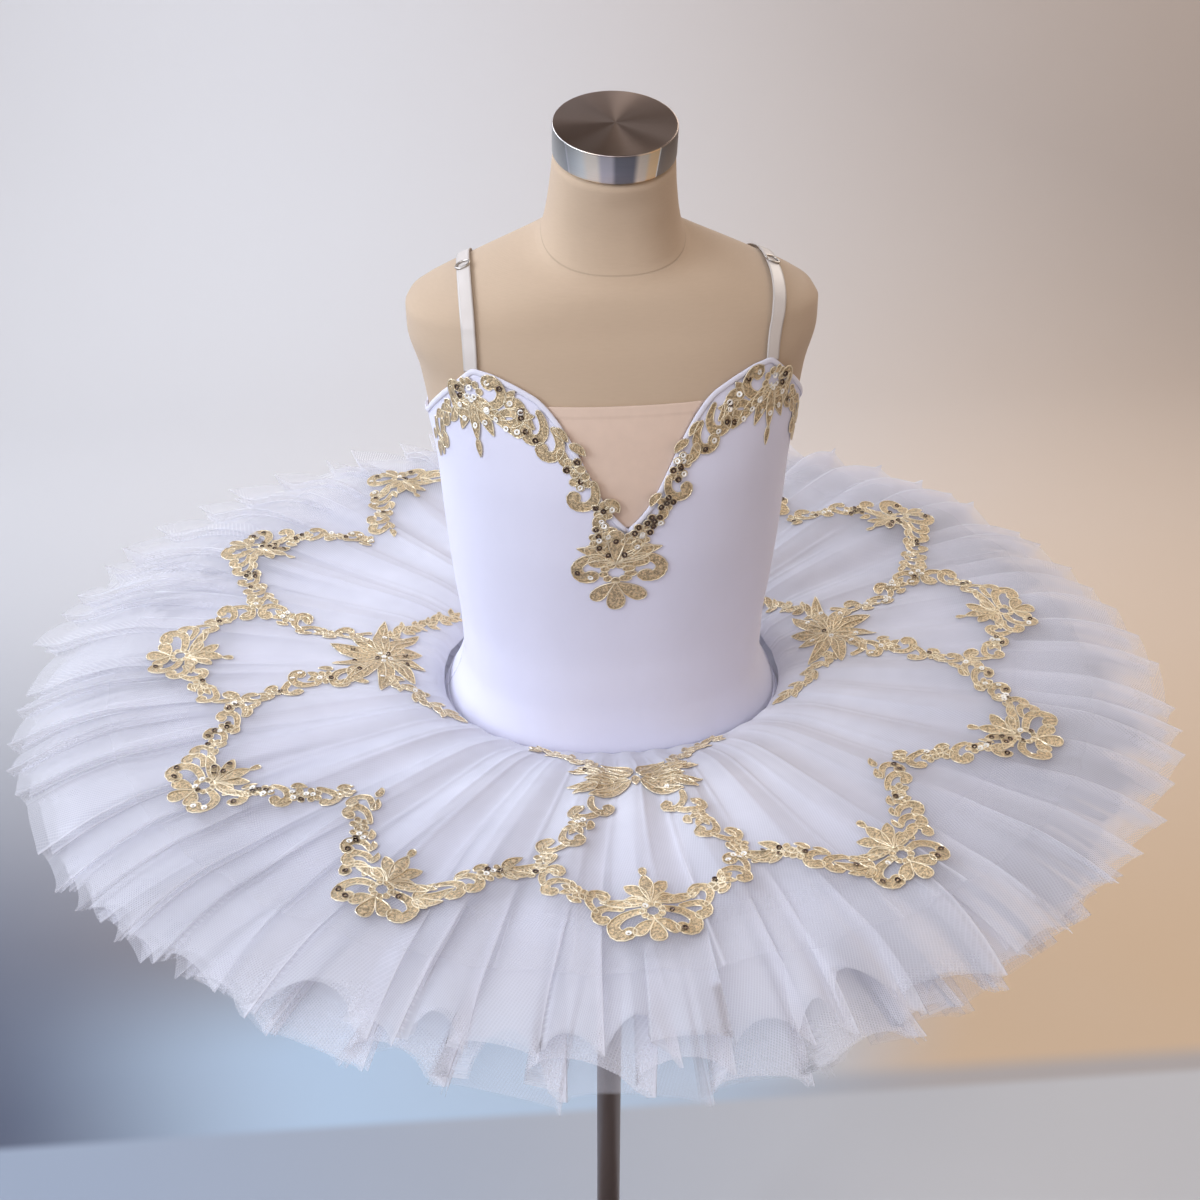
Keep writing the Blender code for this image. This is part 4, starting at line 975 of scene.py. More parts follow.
def make_net_layer(
        name, node, pleats, turn, seam, middle, hem, front, side, back, depth, arch, seed):
    """One pleated layer; the values are the columns of NET_LAYERS."""
    chance = np.random.default_rng(seed)
    steps = len(PLEAT)
    starts = (np.arange(pleats) + chance.uniform(-0.26, 0.26, pleats)) / pleats
    starts = np.append(starts, 1 + starts[0])
    overlap = chance.uniform(0.06, 0.20, pleats)
    lift = chance.uniform(0.75, 1.25, pleats)
    bulge = chance.uniform(0.3, 1.7, pleats)
    trim = chance.normal(0, 1.6 * MM, pleats)
    point = chance.uniform(3, 12, pleats) * MM
    sag = chance.normal(0, 1.4 * MM, pleats)
    sway = chance.uniform(-0.5, 0.5, pleats) / pleats
    skew, hollow = chance.uniform(0.45, 1.5, pleats), chance.uniform(0.15, 1.35, pleats)
    scallop = 0.0 if node == "ruffle_1" else 0.7
    steps_long = np.abs(np.diff(np.append(PLEAT_ALONG + PLEAT_LAP * 0.13, 1.0)))
    along = np.concatenate(([0], np.cumsum(steps_long)))[:-1]
    pitch = math.tau * PITCH_RADIUS / pleats

    def place(u, v):
        column = np.rint(u * pleats * steps).astype(int)
        k, i = (column // steps) % pleats, column % steps
        lap = column // steps // pleats
        share = 1 - v
        q = PLEAT_ALONG[i] + PLEAT_LAP[i] * overlap[k] * (1 + 1.7 * (1 - share))
        q = q + PLEAT_LAP[i] * 0.10 * np.sin(share * 5 + k)
        q = starts[k] + lap + q * (starts[k + 1] - starts[k])
        angle = 360 * (q + sway[k] * (share - 0.5) * share) + turn

        # where round the skirt: fore and rear, left and right, and far is the left of the back
        ahead = cos(angle)
        fore, rear = np.clip(ahead, 0, 1) ** 2, np.clip(-ahead, 0, 1) ** 2
        left, right = np.clip(-sin(angle), 0, 1), np.clip(sin(angle), 0, 1)
        far = np.clip(-2 * ahead * left, 0, 1)
        waist = waist_radius(angle)
        inner = form_radius(angle, seam) + CLOTH_OUT + 2.5 * MM
        reach = side + (np.where(ahead > 0, front, back) - side) * ahead**2
        reach = reach + 0.022 * far - 0.010 * right**2
        outer = waist + reach + trim[k] + 1.5 * MM * PLEAT_RISE[i]

        # the hem runs to points at the folds, with an arch across each face between them
        face = np.clip(PLEAT_ALONG[i], 0, 1) * (PLEAT_LAP[i] == 0)
        arched = 0.2 + 0.15 * (PLEAT_LAP[i] > 0.5)
        arched = arched - hollow[k] * np.sin(math.pi * face ** skew[k]) ** 0.6
        lean = PLEAT_ALONG[i] + 0.4 * PLEAT_LAP[i] - 0.85
        lean = lean + (arched - lean) * np.maximum(np.sqrt(fore), scallop)
        slant = point[k] * (0.4 + 2.2 * fore + rear * (0.6 + 5.5 * right)) * lean * share**6
        radius = inner + share * (outer - inner) + slant

        # it hangs under the overlay, rises from its seam and is folded deeper towards the hem
        under = middle + (hem - middle) * eased((radius - waist - 0.16) / 0.15)
        height = overlay_mean(angle, np.maximum(radius, waist + 0.02)) - under
        height = seam + (height - seam) * eased((radius - inner) / 0.065)
        swing = rear * (1.7 + 1.5 * right - 1.4 * far) - 1.0 * fore
        deep = depth * (0.10 + 0.90 * share**1.2) * lift[k] * (1 + swing * share**3)
        crown = arch * bulge[k] * np.sin(math.pi * face) * share**2
        height = height + deep * (PLEAT_RISE[i] + crown)
        ripple = 1.5 * MM * np.sin(share * 9 + 2 * k)
        height = height + (sag[k] * (1 + 2 * fore) + ripple) * share**2
        height = height - point[k] * fore * (lean + 0.4) * share**6
        height = height + 0.008 * (rear + far) * share**3

        across = pitch * (along[i] + (column // steps) * steps_long.sum())
        cloth = np.stack((across, radius + 0.022 * far * share**2), axis=-1)
        folded = PLEAT_FOLDED[i] * (0.55 + 0.45 * bulge[k] / 1.7) * (1 - 0.5 * far)
        folded = np.maximum(folded, 0.2 * (share > 0.995))
        folded = np.maximum(folded, np.minimum(1, 1.7 * np.sqrt(rear * right)) * share**2)
        return plan_point(angle, radius, height), cloth, folded

    cover, fold_cover, hem_share = NET_COVER[node]
    finish = material(f"Pleated net {node[-1]}", net_finish, cover, cover + 0.06, fold_cover,
                      hem_share, THIN_NET_HEM)
    mesh = bent_grid(name, pleats * steps, NET_ROWS, place, closed=True)
    piece = add_piece(name, mesh, [finish], [node])


# ---- lace -----------------------------------------------------------------------------------
def curve(points, count):
    """Evenly spaced points on a smooth curve through the given ones, as complex numbers."""
    p = np.asarray(points, complex)
    p = np.concatenate(([2 * p[0] - p[1]], p, [2 * p[-1] - p[-2]]))
    t = np.linspace(0, 1, 10, endpoint=False)[:, None]
    a, b, c, d = p[:-3], p[1:-2], p[2:-1], p[3:]
    bend, twist = 2 * a - 5 * b + 4 * c - d, 3 * b - a - 3 * c + d
    fine = 0.5 * (2 * b + (c - a) * t + bend * t**2 + twist * t**3)
    fine = np.append(fine.T.ravel(), p[-2])
    length = np.concatenate(([0], np.cumsum(np.abs(np.diff(fine)))))
    return np.interp(np.linspace(0, length[-1], count), length, fine)


def swell(t, rise, fall):
    """A width along a stroke that swells to 1 and closes at both ends."""
    top = rise / (rise + fall)
    return (t / top) ** rise * ((1 - t) / (1 - top)) ** fall


def scroll_width(t):
    ends = np.clip(np.minimum(t / 0.06, (1 - t) / 0.13), 0, 1)
    return (0.40 + 0.60 * t**1.1) * np.sqrt(ends * (2 - ends))


def mirrored(rows):
    """Rows of turn, length and width, each but the middle one followed by its mirror image."""
    both = [((turn, *size), (-turn, *size)) for turn, *size in rows]
    return [row for pair in both for row in pair[:2 if pair[0][0] else 1]]


# How a leaf swells and closes, and the line of a scroll from its tail to its curl.
LEAF, SPRAY, PETAL, BEAD = (0.60, 0.90), (1.35, 0.85), (1.1, 0.45), (0.5, 0.5)
SCROLL_SPINE = np.array((
    0, 0.30 - 0.02j, 0.60 - 0.13j, 0.79 - 0.40j, 0.68 - 0.69j, 0.43 - 0.72j, 0.32 - 0.50j))
CURVE_POINTS, RUN_POINTS, RING_LEAVES, PETALS, BESIDE_LEAVES = 61, 160, 9, 5, 10
ARM_ROOT = 23 * MM                # from a lobe's centre to where its arms start
# How much of a run each kind of motif takes up, in millimetres.
ROOM = {"s": 13, "S": 13, "f": 9.5, "l": 6.5, "L": 6.5, "t": 7, "w": 17}
TREFOIL = ((0.0, 10.5, 5.2), (0.85, 10.5, 5.2))
FEATHER = ((0.12, 27, 8.5), (0.62, 20, 7), (-0.42, 19, 7), (1.15, 13, 5.5))
PALMETTE_TIP = ((0, 19, 10.5), (0.88, 17, 9.5))
PALMETTE_ROOT = ((0, 27, 9), (0.58, 25, 8.5), (1.15, 18, 7.5))
PEAK_ROOT = ((0, 28, 8.5), (0.58, 27, 10.5), (1.15, 21, 9.5))
PENDANT_FOOT = ((0, 25, 9.5), (0.66, 21, 9.5))
PENDANT_CROWN = ((0, 28, 8.5), (0.42, 26, 8.5), (0.88, 22, 8.5), (1.35, 16, 8.5))


class Lace:
    """A flat drawing of corded lace: filled strokes, cords and sequins, in metres.

    Points are complex numbers; a heading is a unit complex number.
    """

    def __init__(self, seed, sparkle=0.3, dark=0.5):
        self.fills, self.cords, self.sequins = [], [], []
        self.chance = np.random.default_rng(seed)
        self.sparkle, self.dark = sparkle, dark

    def stroke(self, points, width, widths, stations, lift=0.0):
        """A filled stroke with a cord round it; its stations crowd towards its ends."""
        t = (1 - np.cos(np.linspace(0, math.pi, stations))) / 2
        spine = np.interp(
            t * (CURVE_POINTS - 1), np.arange(CURVE_POINTS), curve(points, CURVE_POINTS))
        along = np.gradient(spine)
        aside = 1j * along / np.maximum(np.abs(along), 1e-9) * widths(t) * width / 2
        left, right = spine + aside, spine - aside
        self.fills.append((left, spine, right, lift))
        self.cords.append((np.concatenate((left[:-1], right[:0:-1])), lift, True))

    def sequin(self, at, dark=None):
        dark = self.chance.random() < self.dark if dark is None else dark
        self.sequins.append((at, dark))

    def perhaps(self, at, share=1.0):
        if self.chance.random() < self.sparkle * share:
            self.sequin(at)

    def leaf(self, at, heading, length, width, bend=0.0, shape=LEAF, lift=0.0, vein=False):
        bend *= length
        line = at + heading * np.array((0, 0.5 * length + 1j * bend, length))
        stations = 8 if length < 8 * MM else 12
        self.stroke(line, width, lambda t: swell(t, *shape), stations, lift)
        if vein:
            rib = np.array((0.12 * length, 0.45 * length + 0.9j * bend, 0.8 * length))
            self.cords.append((curve(at + heading * rib, 6), lift + 0.4 * MM, False))

    def spray(self, at, heading, rows, bend=0.0, shape=LEAF, middle=0.0, scale=MM):
        """Leaves that fan out from one point, the middle one lifted over the others."""
        for turn, length, width in mirrored(rows):
            self.leaf(at, heading * np.exp(1j * turn), length * scale, width * scale,
                      bend * np.sign(turn), shape, middle * (turn == 0))

    def scroll(self, at, heading, size, hand, sequins=0):
        """A C-shaped scroll from its tail to a fat curled end, turning left for hand -1."""
        heading = heading / abs(heading)
        spine = SCROLL_SPINE if hand > 0 else SCROLL_SPINE.conjugate()
        self.stroke(at + heading * spine * size, size * 0.44, scroll_width, 22)
        for k in range(sequins):
            self.sequin(at + heading * curve(spine, 9)[(7, 5, 4, 3)[k % 4]] * size)

    def flower(self, at, heading, size):
        heading = heading * np.exp(1j * self.chance.uniform(-0.6, 0.6))
        for k in range(PETALS):
            ray = heading * np.exp(2j * math.pi * k / PETALS)
            self.leaf(at + ray * size * 0.06, ray, size * 0.46, size * 0.38, shape=BEAD)
            self.perhaps(at + ray * size * 0.34)
        self.perhaps(at, 1.3)

    def ring(self, at, heading, hole, rim):
        for k in range(RING_LEAVES):
            ray = heading * np.exp(2j * math.pi * (k + 0.5) / RING_LEAVES)
            self.leaf(at + ray * hole, ray, rim - hole, 4.8 * MM, shape=BEAD)
            self.perhaps(at + ray * (hole + rim) / 2, 0.5)

    def run(self, path, kinds, outer):
        """A close run of motifs that fills a path end to end.

        outer is +1 where the path's outer side is on its left. Kinds, repeated as the path needs:
        s and S are scrolls curling outward and inward, f a flower, l and L leaves outward and
        inward, t a trefoil, w a feather.
        """
        line = curve(path, RUN_POINTS)
        total = float(np.abs(np.diff(line)).sum())
        heads = np.gradient(line)
        heads = heads / np.abs(heads)
        chosen, filled = "", 0.0
        while filled < total / MM - 4:
            chosen += kinds[len(chosen) % len(kinds)]
            filled += ROOM[chosen[-1]]
        fit = total / (filled * MM)
        size = min(1.2, max(0.85, fit)) * MM
        reached = 0.0
        for kind in chosen:
            step = ROOM[kind] * MM * fit
            last = RUN_POINTS - 1
            i = int(min(last, round(last * (reached + step / 2) / total)))
            at, ahead = line[i], heads[i]
            reached += step
            hand = outer * (-1 if kind in "SL" else 1)
            aside = 1j * ahead * hand
            if kind in "sS":
                spark = int(self.chance.random() < self.sparkle) * int(self.chance.integers(1, 4))
                self.scroll(at - ahead * 9 * size - aside * 6.0 * size, ahead + 0.18 * aside,
                            20 * size, -hand, spark)
                self.leaf(at + ahead * 5 * size - aside * 6.0 * size, ahead - 0.15 * aside,
                          11 * size, 5.2 * size, bend=-0.1 * hand)
            elif kind == "f":
                self.flower(at + aside * self.chance.uniform(-1.5, 1.5) * size, ahead, 13 * size)
            elif kind in "lL":
                self.leaf(at - ahead * 6 * size, ahead * np.exp(0.30j * hand), 15 * size,
                          6.4 * size, bend=0.12 * hand)
                self.perhaps(at + aside * 2 * size, 0.6)
            elif kind == "t":
                self.spray(at - ahead * 4.5 * size, ahead, TREFOIL, scale=size)
            elif kind == "w":
                base = at - ahead * 11 * size
                for turn, length, width in FEATHER:
                    self.leaf(base, ahead * np.exp(1j * turn * hand), length * size, width * size,
                              bend=0.10 * np.sign(turn) * hand, lift=0.25 * MM * (turn > 0.5))
                self.perhaps(base + ahead * 12 * size)

    def palmette(self, at, out, beside):
        """The point of a lobe: a ring, three leaves outward, a cluster inward and scrolls aside."""
        out = out * np.exp(1j * self.chance.uniform(-0.09, 0.09))
        self.ring(at, out, 3.9 * MM, 8.2 * MM)
        self.spray(at + out * 7.5 * MM, out, PALMETTE_TIP, 0.08, PETAL)
        base = at - out * 7 * MM
        self.spray(base, -out, PALMETTE_ROOT, -0.06, SPRAY, 0.3 * MM)
        if beside:
            for turn, length, _ in PALMETTE_ROOT[1:]:
                for share in (0.45, 0.78):
                    self.sequin(base - out * np.exp(1j * turn) * length * share * MM, True)
        self.leaf(base - out * 25 * MM, -out, 10 * MM, 5 * MM, shape=PETAL)
        for sign in (1, -1):
            lateral = 1j * out * sign
            spark = int(self.chance.integers(0, 3))
            self.scroll(at + lateral * 5 * MM - out * 1 * MM, lateral - 0.15 * out, 25 * MM, sign,
                        spark)
            self.leaf(base + lateral * 3 * MM, lateral - 0.25 * out, 24 * MM, 7.5 * MM,
                      bend=0.06 * sign, lift=0.2 * MM)
            self.leaf(base + lateral * 12 * MM - out * 1 * MM, lateral - 0.45 * out, 19 * MM,
                      6.5 * MM, bend=0.08 * sign)
            self.perhaps(at + lateral * 12 * MM)

    def build(self, name, chart, node):
        """Lays the drawing on the cloth; chart(points) gives places and normals."""
        bm = bmesh.new()
        for *lines, lift in self.fills:
            rows = len(lines[0])
            made = bmesh.ops.create_grid(bm, x_segments=2, y_segments=rows - 1, size=1)
            heights = (lift, lift + 0.45 * MM, lift) * rows
            for vert, point, height in zip(made["verts"], np.array(lines).T.ravel(), heights):
                vert.co = (point.real, point.imag, height)
        filled = mesh_from(bm, name)
        flat = points_of(filled)
        places, normals = chart(flat[:, 0] + 1j * flat[:, 1])
        filled.vertices.foreach_set("co", (places + normals * flat[:, 2:]).ravel())
        parts = (filled, self.corded(name, chart), self.dots(chart, True), self.dots(chart, False))
        bm = bmesh.new()
        for index, part in enumerate(parts):
            before = len(bm.faces)
            bm.from_mesh(part)
            bm.faces.ensure_lookup_table()
            for face in bm.faces[before:]:
                face.material_index = index
                face.smooth = True
            bpy.data.meshes.remove(part)
        finishes = [
            material("Lace filling", thread_finish), material("Gold cord", cord_finish),
            material("Dark sequins", sequin_finish, colours().smoked, 0.20, 0.9),
            material("Pale sequins", sequin_finish, colours().sequin, 0.34, 0.05),
        ]
        return add_piece(name, mesh_from(bm, name), finishes, [node])

    def corded(self, name, chart):
        """The cords as one mesh of thin tubes."""
        data = bpy.data.curves.new(name + "_cord", "CURVE")
        data.dimensions = "3D"
        data.bevel_depth = sizes().cord
        data.bevel_resolution = 1
        data.use_fill_caps = True
        for points, lift, closed in self.cords:
            places, normals = chart(points)
            places = places + normals * (lift + 0.25 * MM)
            spline = data.splines.new("POLY")
            spline.points.add(len(places) - 1)
            spline.points.foreach_set("co", np.column_stack((places, np.ones(len(places)))).ravel())
            spline.use_cyclic_u = closed
        holder = bpy.data.objects.new(name + "_cord", data)
        bpy.context.scene.collection.objects.link(holder)
        bpy.context.view_layer.update()
        evaluated = holder.evaluated_get(bpy.context.evaluated_depsgraph_get())
        mesh = bpy.data.meshes.new_from_object(evaluated)
        bpy.data.objects.remove(holder)
        bpy.data.curves.remove(data)
        return mesh

    def dots(self, chart, dark):
        """Cupped sequins with a hole in the middle, each tilted its own way."""
        bm = bmesh.new()
        chosen = [at for at, is_dark in self.sequins if is_dark == dark]
        for place, normal in zip(*chart(np.array(chosen))) if chosen else ():
            tilt = Vector(self.chance.normal(0, 0.16, 3))
            facing = (Vector(normal) + tilt).normalized()
            turn = facing.to_track_quat("Z", "Y").to_matrix().to_4x4()
            one = sequin_mesh().copy()
            one.transform(Matrix.Translation(Vector(place) + Vector(normal) * 1.1 * MM) @ turn)
            bm.from_mesh(one)
            bpy.data.meshes.remove(one)
        return mesh_from(bm, "sequins")


# Outline of a sequin in shares of its radius: out along its face, and back along its underside.
SEQUIN_OUTLINE = ((0.34, -0.10), (0.62, -0.02), (1, 0.12), (1, 0.04), (0.62, -0.12), (0.34, -0.18))


def sequin_mesh():
    outline = [(x * sizes().sequin, z * sizes().sequin) for x, z in SEQUIN_OUTLINE]
    return bpy.data.meshes.get("one_sequin") or mesh_from(spun(outline, 14, True), "one_sequin")


def skirt_chart(points):
    """Plan points (complex x + iy) laid on the overlay."""
    angle = np.degrees(np.arctan2(points.real, -points.imag))
    radius = np.abs(points)
    places = plan_point(angle, radius, overlay_height(angle, radius) + 1.5 * MM)
    step = 2 * MM
    slope = (overlay_mean(angle, radius + step) - overlay_mean(angle, radius - step)) / (2 * step)
    ray = points / radius
    normals = unit(np.stack((-slope * ray.real, -slope * ray.imag, np.ones_like(slope)), axis=-1))
    return places, normals


def ray_at(angle):
    return complex(sin(angle), -cos(angle))


def plan(angle, out):
    return ray_at(angle) * (waist_radius(angle) + out)


def plan_by_crest(angle, out):
    return ray_at(angle) * (overlay_inner(angle) + ROLL_WIDTH + out)


def arm(start, turn, side, rows, place=plan):
    """A path from its start through the points of a table, on one side of a direction."""
    return [start] + [place(turn + side * angle, out) for angle, out in rows]


def make_skirt_lace():
    large = 0
    for quarter, word in enumerate(LACE_QUARTERS):
        turn, beside = 90.0 * quarter, quarter % 2 == 1
        make_flower(f"flower_lace_{word}", f"lace_flower_{word}", turn, 40 + quarter, beside)
        lace = Lace(50 + quarter, 0.14, 0.35)
        centre, ray = plan(turn, SMALL_OUT), ray_at(turn)
        lace.palmette(centre, ray, False)
        for side in (1, -1):
            start = centre + 1j * ray * side * ARM_ROOT - ray * 3 * MM
            lace.run(arm(start, turn, side, SMALL_ARM), "sSft", -side)
        lace.build(f"small_lobe_lace_{word}", skirt_chart, f"lace_small_{word}")
        for side in (1, -1):
            large += 1
            make_large_lobe(large, turn, side, beside)


def make_large_lobe(index, turn, side, beside):
    lace = Lace(60 + index, 0.28, 0.65)
    middle = turn + side * LARGE_ANGLE
    centre, ray = plan(middle, LARGE_OUT), ray_at(middle)
    lace.palmette(centre, ray, beside)
    inner, notch = ("ssfsf", "sff") if beside else ("wssff", "sssff")
    for rows, kinds, way in ((LARGE_INNER_ARM, inner, -side), (LARGE_NOTCH_ARM, notch, side)):
        start = centre + 1j * ray * way * ARM_ROOT - ray * 7 * MM
        lace.run(arm(start, turn, side, rows), kinds, -way)
    lace.build(f"large_lobe_lace_{index}", skirt_chart, f"lace_large_{index}")


def make_flower(name, node, turn, seed, beside):
    lace = Lace(seed, 0.75 if beside else 0.10, 0.35)
    out, centre = ray_at(turn), plan(turn, FLOWER_OUT)
    if beside:
        for k in range(BESIDE_LEAVES):
            share = np.exp(2j * math.pi * (k + 0.5) / BESIDE_LEAVES)
            ray = out * share
            reach = 31 + 15 * abs(share.imag) - 8 * max(0.0, -share.real)
            reach = reach * lace.chance.uniform(0.88, 1.1)
            lace.leaf(centre + ray * 3 * MM, ray, reach * MM, 12.5 * MM, bend=0.06,
                      lift=0.25 * MM * (k % 2), vein=True)
            lace.perhaps(centre + ray * reach * 0.62 * MM)
        lace.flower(centre, out, 15 * MM)
    else:
        lace.leaf(centre + out * 1 * MM, out, 12 * MM, 6 * MM)
        for sign in (1, -1):
            lateral = 1j * out * sign
            for aside, ahead, tilt, length, width in WAIST_SPRAY:
                base = centre + (lateral * aside + out * ahead) * MM
                heading = lateral * np.exp(-1j * tilt * sign)
                lace.leaf(base, heading, length * MM, width * MM, bend=-0.08 * sign * np.sign(tilt),
                          lift=0.25 * MM * (width < 11), vein=True)
                lace.perhaps(base + heading * length * 0.6 * MM)
            lace.scroll(centre + (lateral * 33 + out * 22) * MM, -0.95 * lateral - 0.35 * out,
                        24 * MM, sign)
    lace.sparkle = 0.3 if beside else 0.1
    for sign in (1, -1):
        lateral = 1j * out * sign
        start = centre + (lateral * 30 + out * 12 if beside else lateral * 27 + out * 30) * MM
        lace.run(arm(start, turn, sign, FLOWER_ARM[0 if beside else 1:]), "sSft", -sign)
        start = centre + lateral * (30 if beside else 26) * MM - out * 6 * MM
        lace.run(arm(start, turn, sign, WAIST_SWAG, plan_by_crest), "tltLtl", -sign)
    lace.build(name, skirt_chart, node)


def on_bodice(angle, height):
    return complex(math.radians(angle) * BODICE_CHART_RADIUS, height)


def bodice_chart(points):
    """Points of the bodice's flat drawing laid on it, and over the piping where they reach it."""
    angle = np.degrees(points.real / BODICE_CHART_RADIUS)
    edge = np.linspace(-90, 90, 240)
    edge = np.radians(edge) * BODICE_CHART_RADIUS + 1j * neckline(edge)
    near = np.abs(points[:, None] - edge).min(axis=1)
    normals = form_normal(angle, points.imag)
    out = CLOTH_OUT + 0.5 * MM + 1.2 * MM * (1 - eased((near - 4.2 * MM) / (2.5 * MM)))
    return section(angle, points.imag) + normals * out[:, None], normals


def make_bodice_lace():
    for side, word in ((1, "right"), (-1, "left")):
        # On the left, where the light comes from, more of the sequins are pale than on the right:
        # partly a painted glint.
        lace = Lace(80 + side, 0.5, 0.25 if side < 0 else 0.4)
        centre = on_bodice(side * 44.0, 0.2140) + 8.5j * MM
        make_peak(lace, centre, -side)
        # More pale sequins on the lit left side, more dark ones on the right: partly painted glint.
        lace.dark, lace.sparkle = 0.12 if side < 0 else 0.45, 0.75
        inward = (-side * (5.4 - side) + 3.4j) * MM
        line = [on_bodice(side * a, h) + inward * (0.2 if a > 18 else 1.15) for a, h in V_PATH]
        lace.run([centre - side * 24 * MM - 17j * MM] + line[1:4], "slls", side)
        lace.dark, lace.sparkle = 0.72, 0.62
        lace.run(line[3:-1] + [on_bodice(side * 4.2 - 1.6, 0.1265)], "ffsfl", side)
        lace.dark, lace.sparkle = 0.4, 0.12
        path = arm(centre + side * 13 * MM - 3j * MM, 0, side, UNDERARM_PATH, on_bodice)
        lace.run(path, "slLlLl", -side)
        lace.build(f"bodice_lace_piece_{word}", bodice_chart, f"bodice_lace_{word}")
    make_pendant()


def make_peak(lace, centre, inner):
    """The cluster on a cup's peak; inner is +1 where the neckline lies towards +x."""
    for k in range(7):
        ray = 1j * np.exp(1j * math.pi * (k / 6 - 0.5) * 1.15)
        lace.leaf(centre + ray * 5.0 * MM + 1j * ray * 2 * MM, ray * np.exp(0.5j), 5.5 * MM,
                  4.6 * MM, shape=BEAD)
    low = centre - 4.5j * MM
    lace.spray(low, -1j, PEAK_ROOT, 0.06, LEAF, 0.3 * MM)
    for turn, length, _ in mirrored(PEAK_ROOT):
        lace.sequin(low - 1j * np.exp(1j * turn) * length * 0.62 * MM, False)
    lace.leaf(low - 26.5j * MM, -1j, 13 * MM, 5 * MM)
    for place in (3, -3, 6j, -2j):
        lace.sequin(low + (place + 2j) * MM, False)
    lace.scroll(centre + (inner * 8 - 8j) * MM, inner + 0.05j, 23 * MM, -inner, sequins=2)
    lace.scroll(centre + (inner * 20 - 17j) * MM, inner - 0.15j, 21 * MM, -inner, sequins=3)
    base, heading = centre + (inner * 6 - 6j) * MM, inner - 0.75j
    lace.leaf(base, heading, 25 * MM, 8 * MM, 0.06 * inner)
    for share in (0.25, 0.5, 0.78):
        lace.sequin(base + heading * share * 25 * MM, False)
    lace.scroll(centre + (-inner * 4 - 11j) * MM, -inner + 0.1j, 19 * MM, inner)
    for height in (3, -3):
        lace.sequin(centre + (-inner * 10 + 1j * height) * MM, True)


def make_pendant():
    lace = Lace(90, 0.25, 0.4)
    centre = on_bodice(PENDANT_ANGLE, PENDANT_HEIGHT)
    lace.ring(centre, 1j, 4.2 * MM, 9.2 * MM)
    lace.spray(centre - 8j * MM, -1j, PENDANT_FOOT, 0.05, PETAL)
    lace.spray(centre + 7.5j * MM, 1j, PENDANT_CROWN, 0.06, PETAL, 0.3 * MM)
    for side in (1, -1):
        lace.scroll(centre + (side * 4 + 13j) * MM, side + 0.04j, 24 * MM, side,
                    sequins=2 * (side < 0))
        lace.leaf(centre + (side * 3 + 11j) * MM, side + 0.45j, 20 * MM, 7.5 * MM, 0.08 * side)
        lace.flower(centre + (side * 9 + 27j) * MM, 1j, 13 * MM)
        lace.sequin(centre + (side * 9 + 21j) * MM, side < 0)
        lace.sequin(centre + (side * 4 + 15j) * MM)
    lace.sequin(centre + 26j * MM, True)
    lace.build("bodice_pendant", bodice_chart, "bodice_lace_pendant")


# ---- stage, lights and camera ---------------------------------------------------------------
CAMERA_PLACE = (-0.10442, -0.98385, 1.69044)
CAMERA_RIGHT, CAMERA_AHEAD = (0.99535, -0.09634, 0), (0.08103, 0.83716, -0.54093)


def backdrop_finish(name):
    """Backdrop painted with light and shade: a cool, dark painted shadow low on the left and on the
    floor's left, a painted band of blue shade low down, a warmer painted light tint on the right
    and a painted shadow line along the floor's edge on the right; plain on the nearest floor.

    fan and drop say how far aside and how far down a place is, as a share of how far off it is.
    """
    f = Finish(name, (0.74, 0.72, 0.71), Roughness=0.95, Specular_IOR_Level=0.1)
    x, y, z = f.split(f.place())
    away = y + 0.98
    fan = (x + 0.10) / away
    drop = f.math("SUBTRACT", 1.69, z) / away
    # Painted light tint on the wall: cool on the left, warm on the right.
    wall_light_tint = f.blend(f.ramp(fan, -0.15, 0.62), (0.82, 0.83, 0.86, 1), (0.76, 0.645, 0.55, 1))
    # Painted shadow low down: dark and cool on the left, warm on the right.
    low_shadow_tint = f.blend(f.ramp(fan, -0.50, 0.30), (0.085, 0.10, 0.15, 1), (0.70, 0.52, 0.35, 1))
    wall_light_and_shade = f.blend(f.ramp(drop, 0.30, 1.15), wall_light_tint, low_shadow_tint)
    # A painted band of cool blue shade low down in the middle.
    shade_band = f.ramp(drop, 0.98, 1.18) * f.ramp(fan, -0.55, -0.15) * f.ramp(fan, 0.50, 0.22)
    wall_light_and_shade = f.blend(shade_band * 0.85, wall_light_and_shade, (0.46, 0.62, 0.80, 1))
    # A painted shadow line along the floor's edge on the right.
    edge = y + x * 0.017
    shadow_line = f.ramp(edge, 0.385, 0.345) * f.ramp(fan, 0.05, 0.40)
    wall_light_and_shade = f.blend(shadow_line * 0.65, wall_light_and_shade, (0.36, 0.40, 0.47, 1))
    # Painted shade on the floor: darker and bluer on the left, plain on the nearest floor.
    floor_shade = f.blend(f.ramp(fan, -0.52, 0.7), (0.30, 0.355, 0.45, 1), (0.60, 0.60, 0.61, 1))
    floor_shade = f.blend(f.ramp(y, 0.16, -0.35), floor_shade, (0.56, 0.58, 0.62, 1))
    tint = f.blend(f.ramp(edge, 0.322, 0.342), floor_shade, wall_light_and_shade)
    f.colour(f.blend(f.noise(f.place(), 3.0) * 0.08, tint, (0.80, 0.78, 0.77, 1)))
    return f.material


def make_stage():
    def place(u, v):
        x = -7 + 14 * u
        run = 13.0 * v
        floor, bend = 7.6, 1.2
        curved = np.clip((run - floor) / (bend * math.pi / 2), 0, 1) * math.pi / 2
        rest = np.maximum(run - floor - bend * math.pi / 2, 0)
        y = -5.0 + np.minimum(run, floor) + bend * np.sin(curved)
        z = bend * (1 - np.cos(curved)) + rest
        return np.stack((x, y, z), axis=-1), np.stack((x, run), axis=-1)

    mesh = bent_grid("backdrop", 8, 160, place)
    mesh.materials.append(material("Backdrop", backdrop_finish))
    mesh.shade_smooth()
    stage = bpy.data.objects.new("backdrop", mesh)
    bpy.context.scene.collection.objects.link(stage)


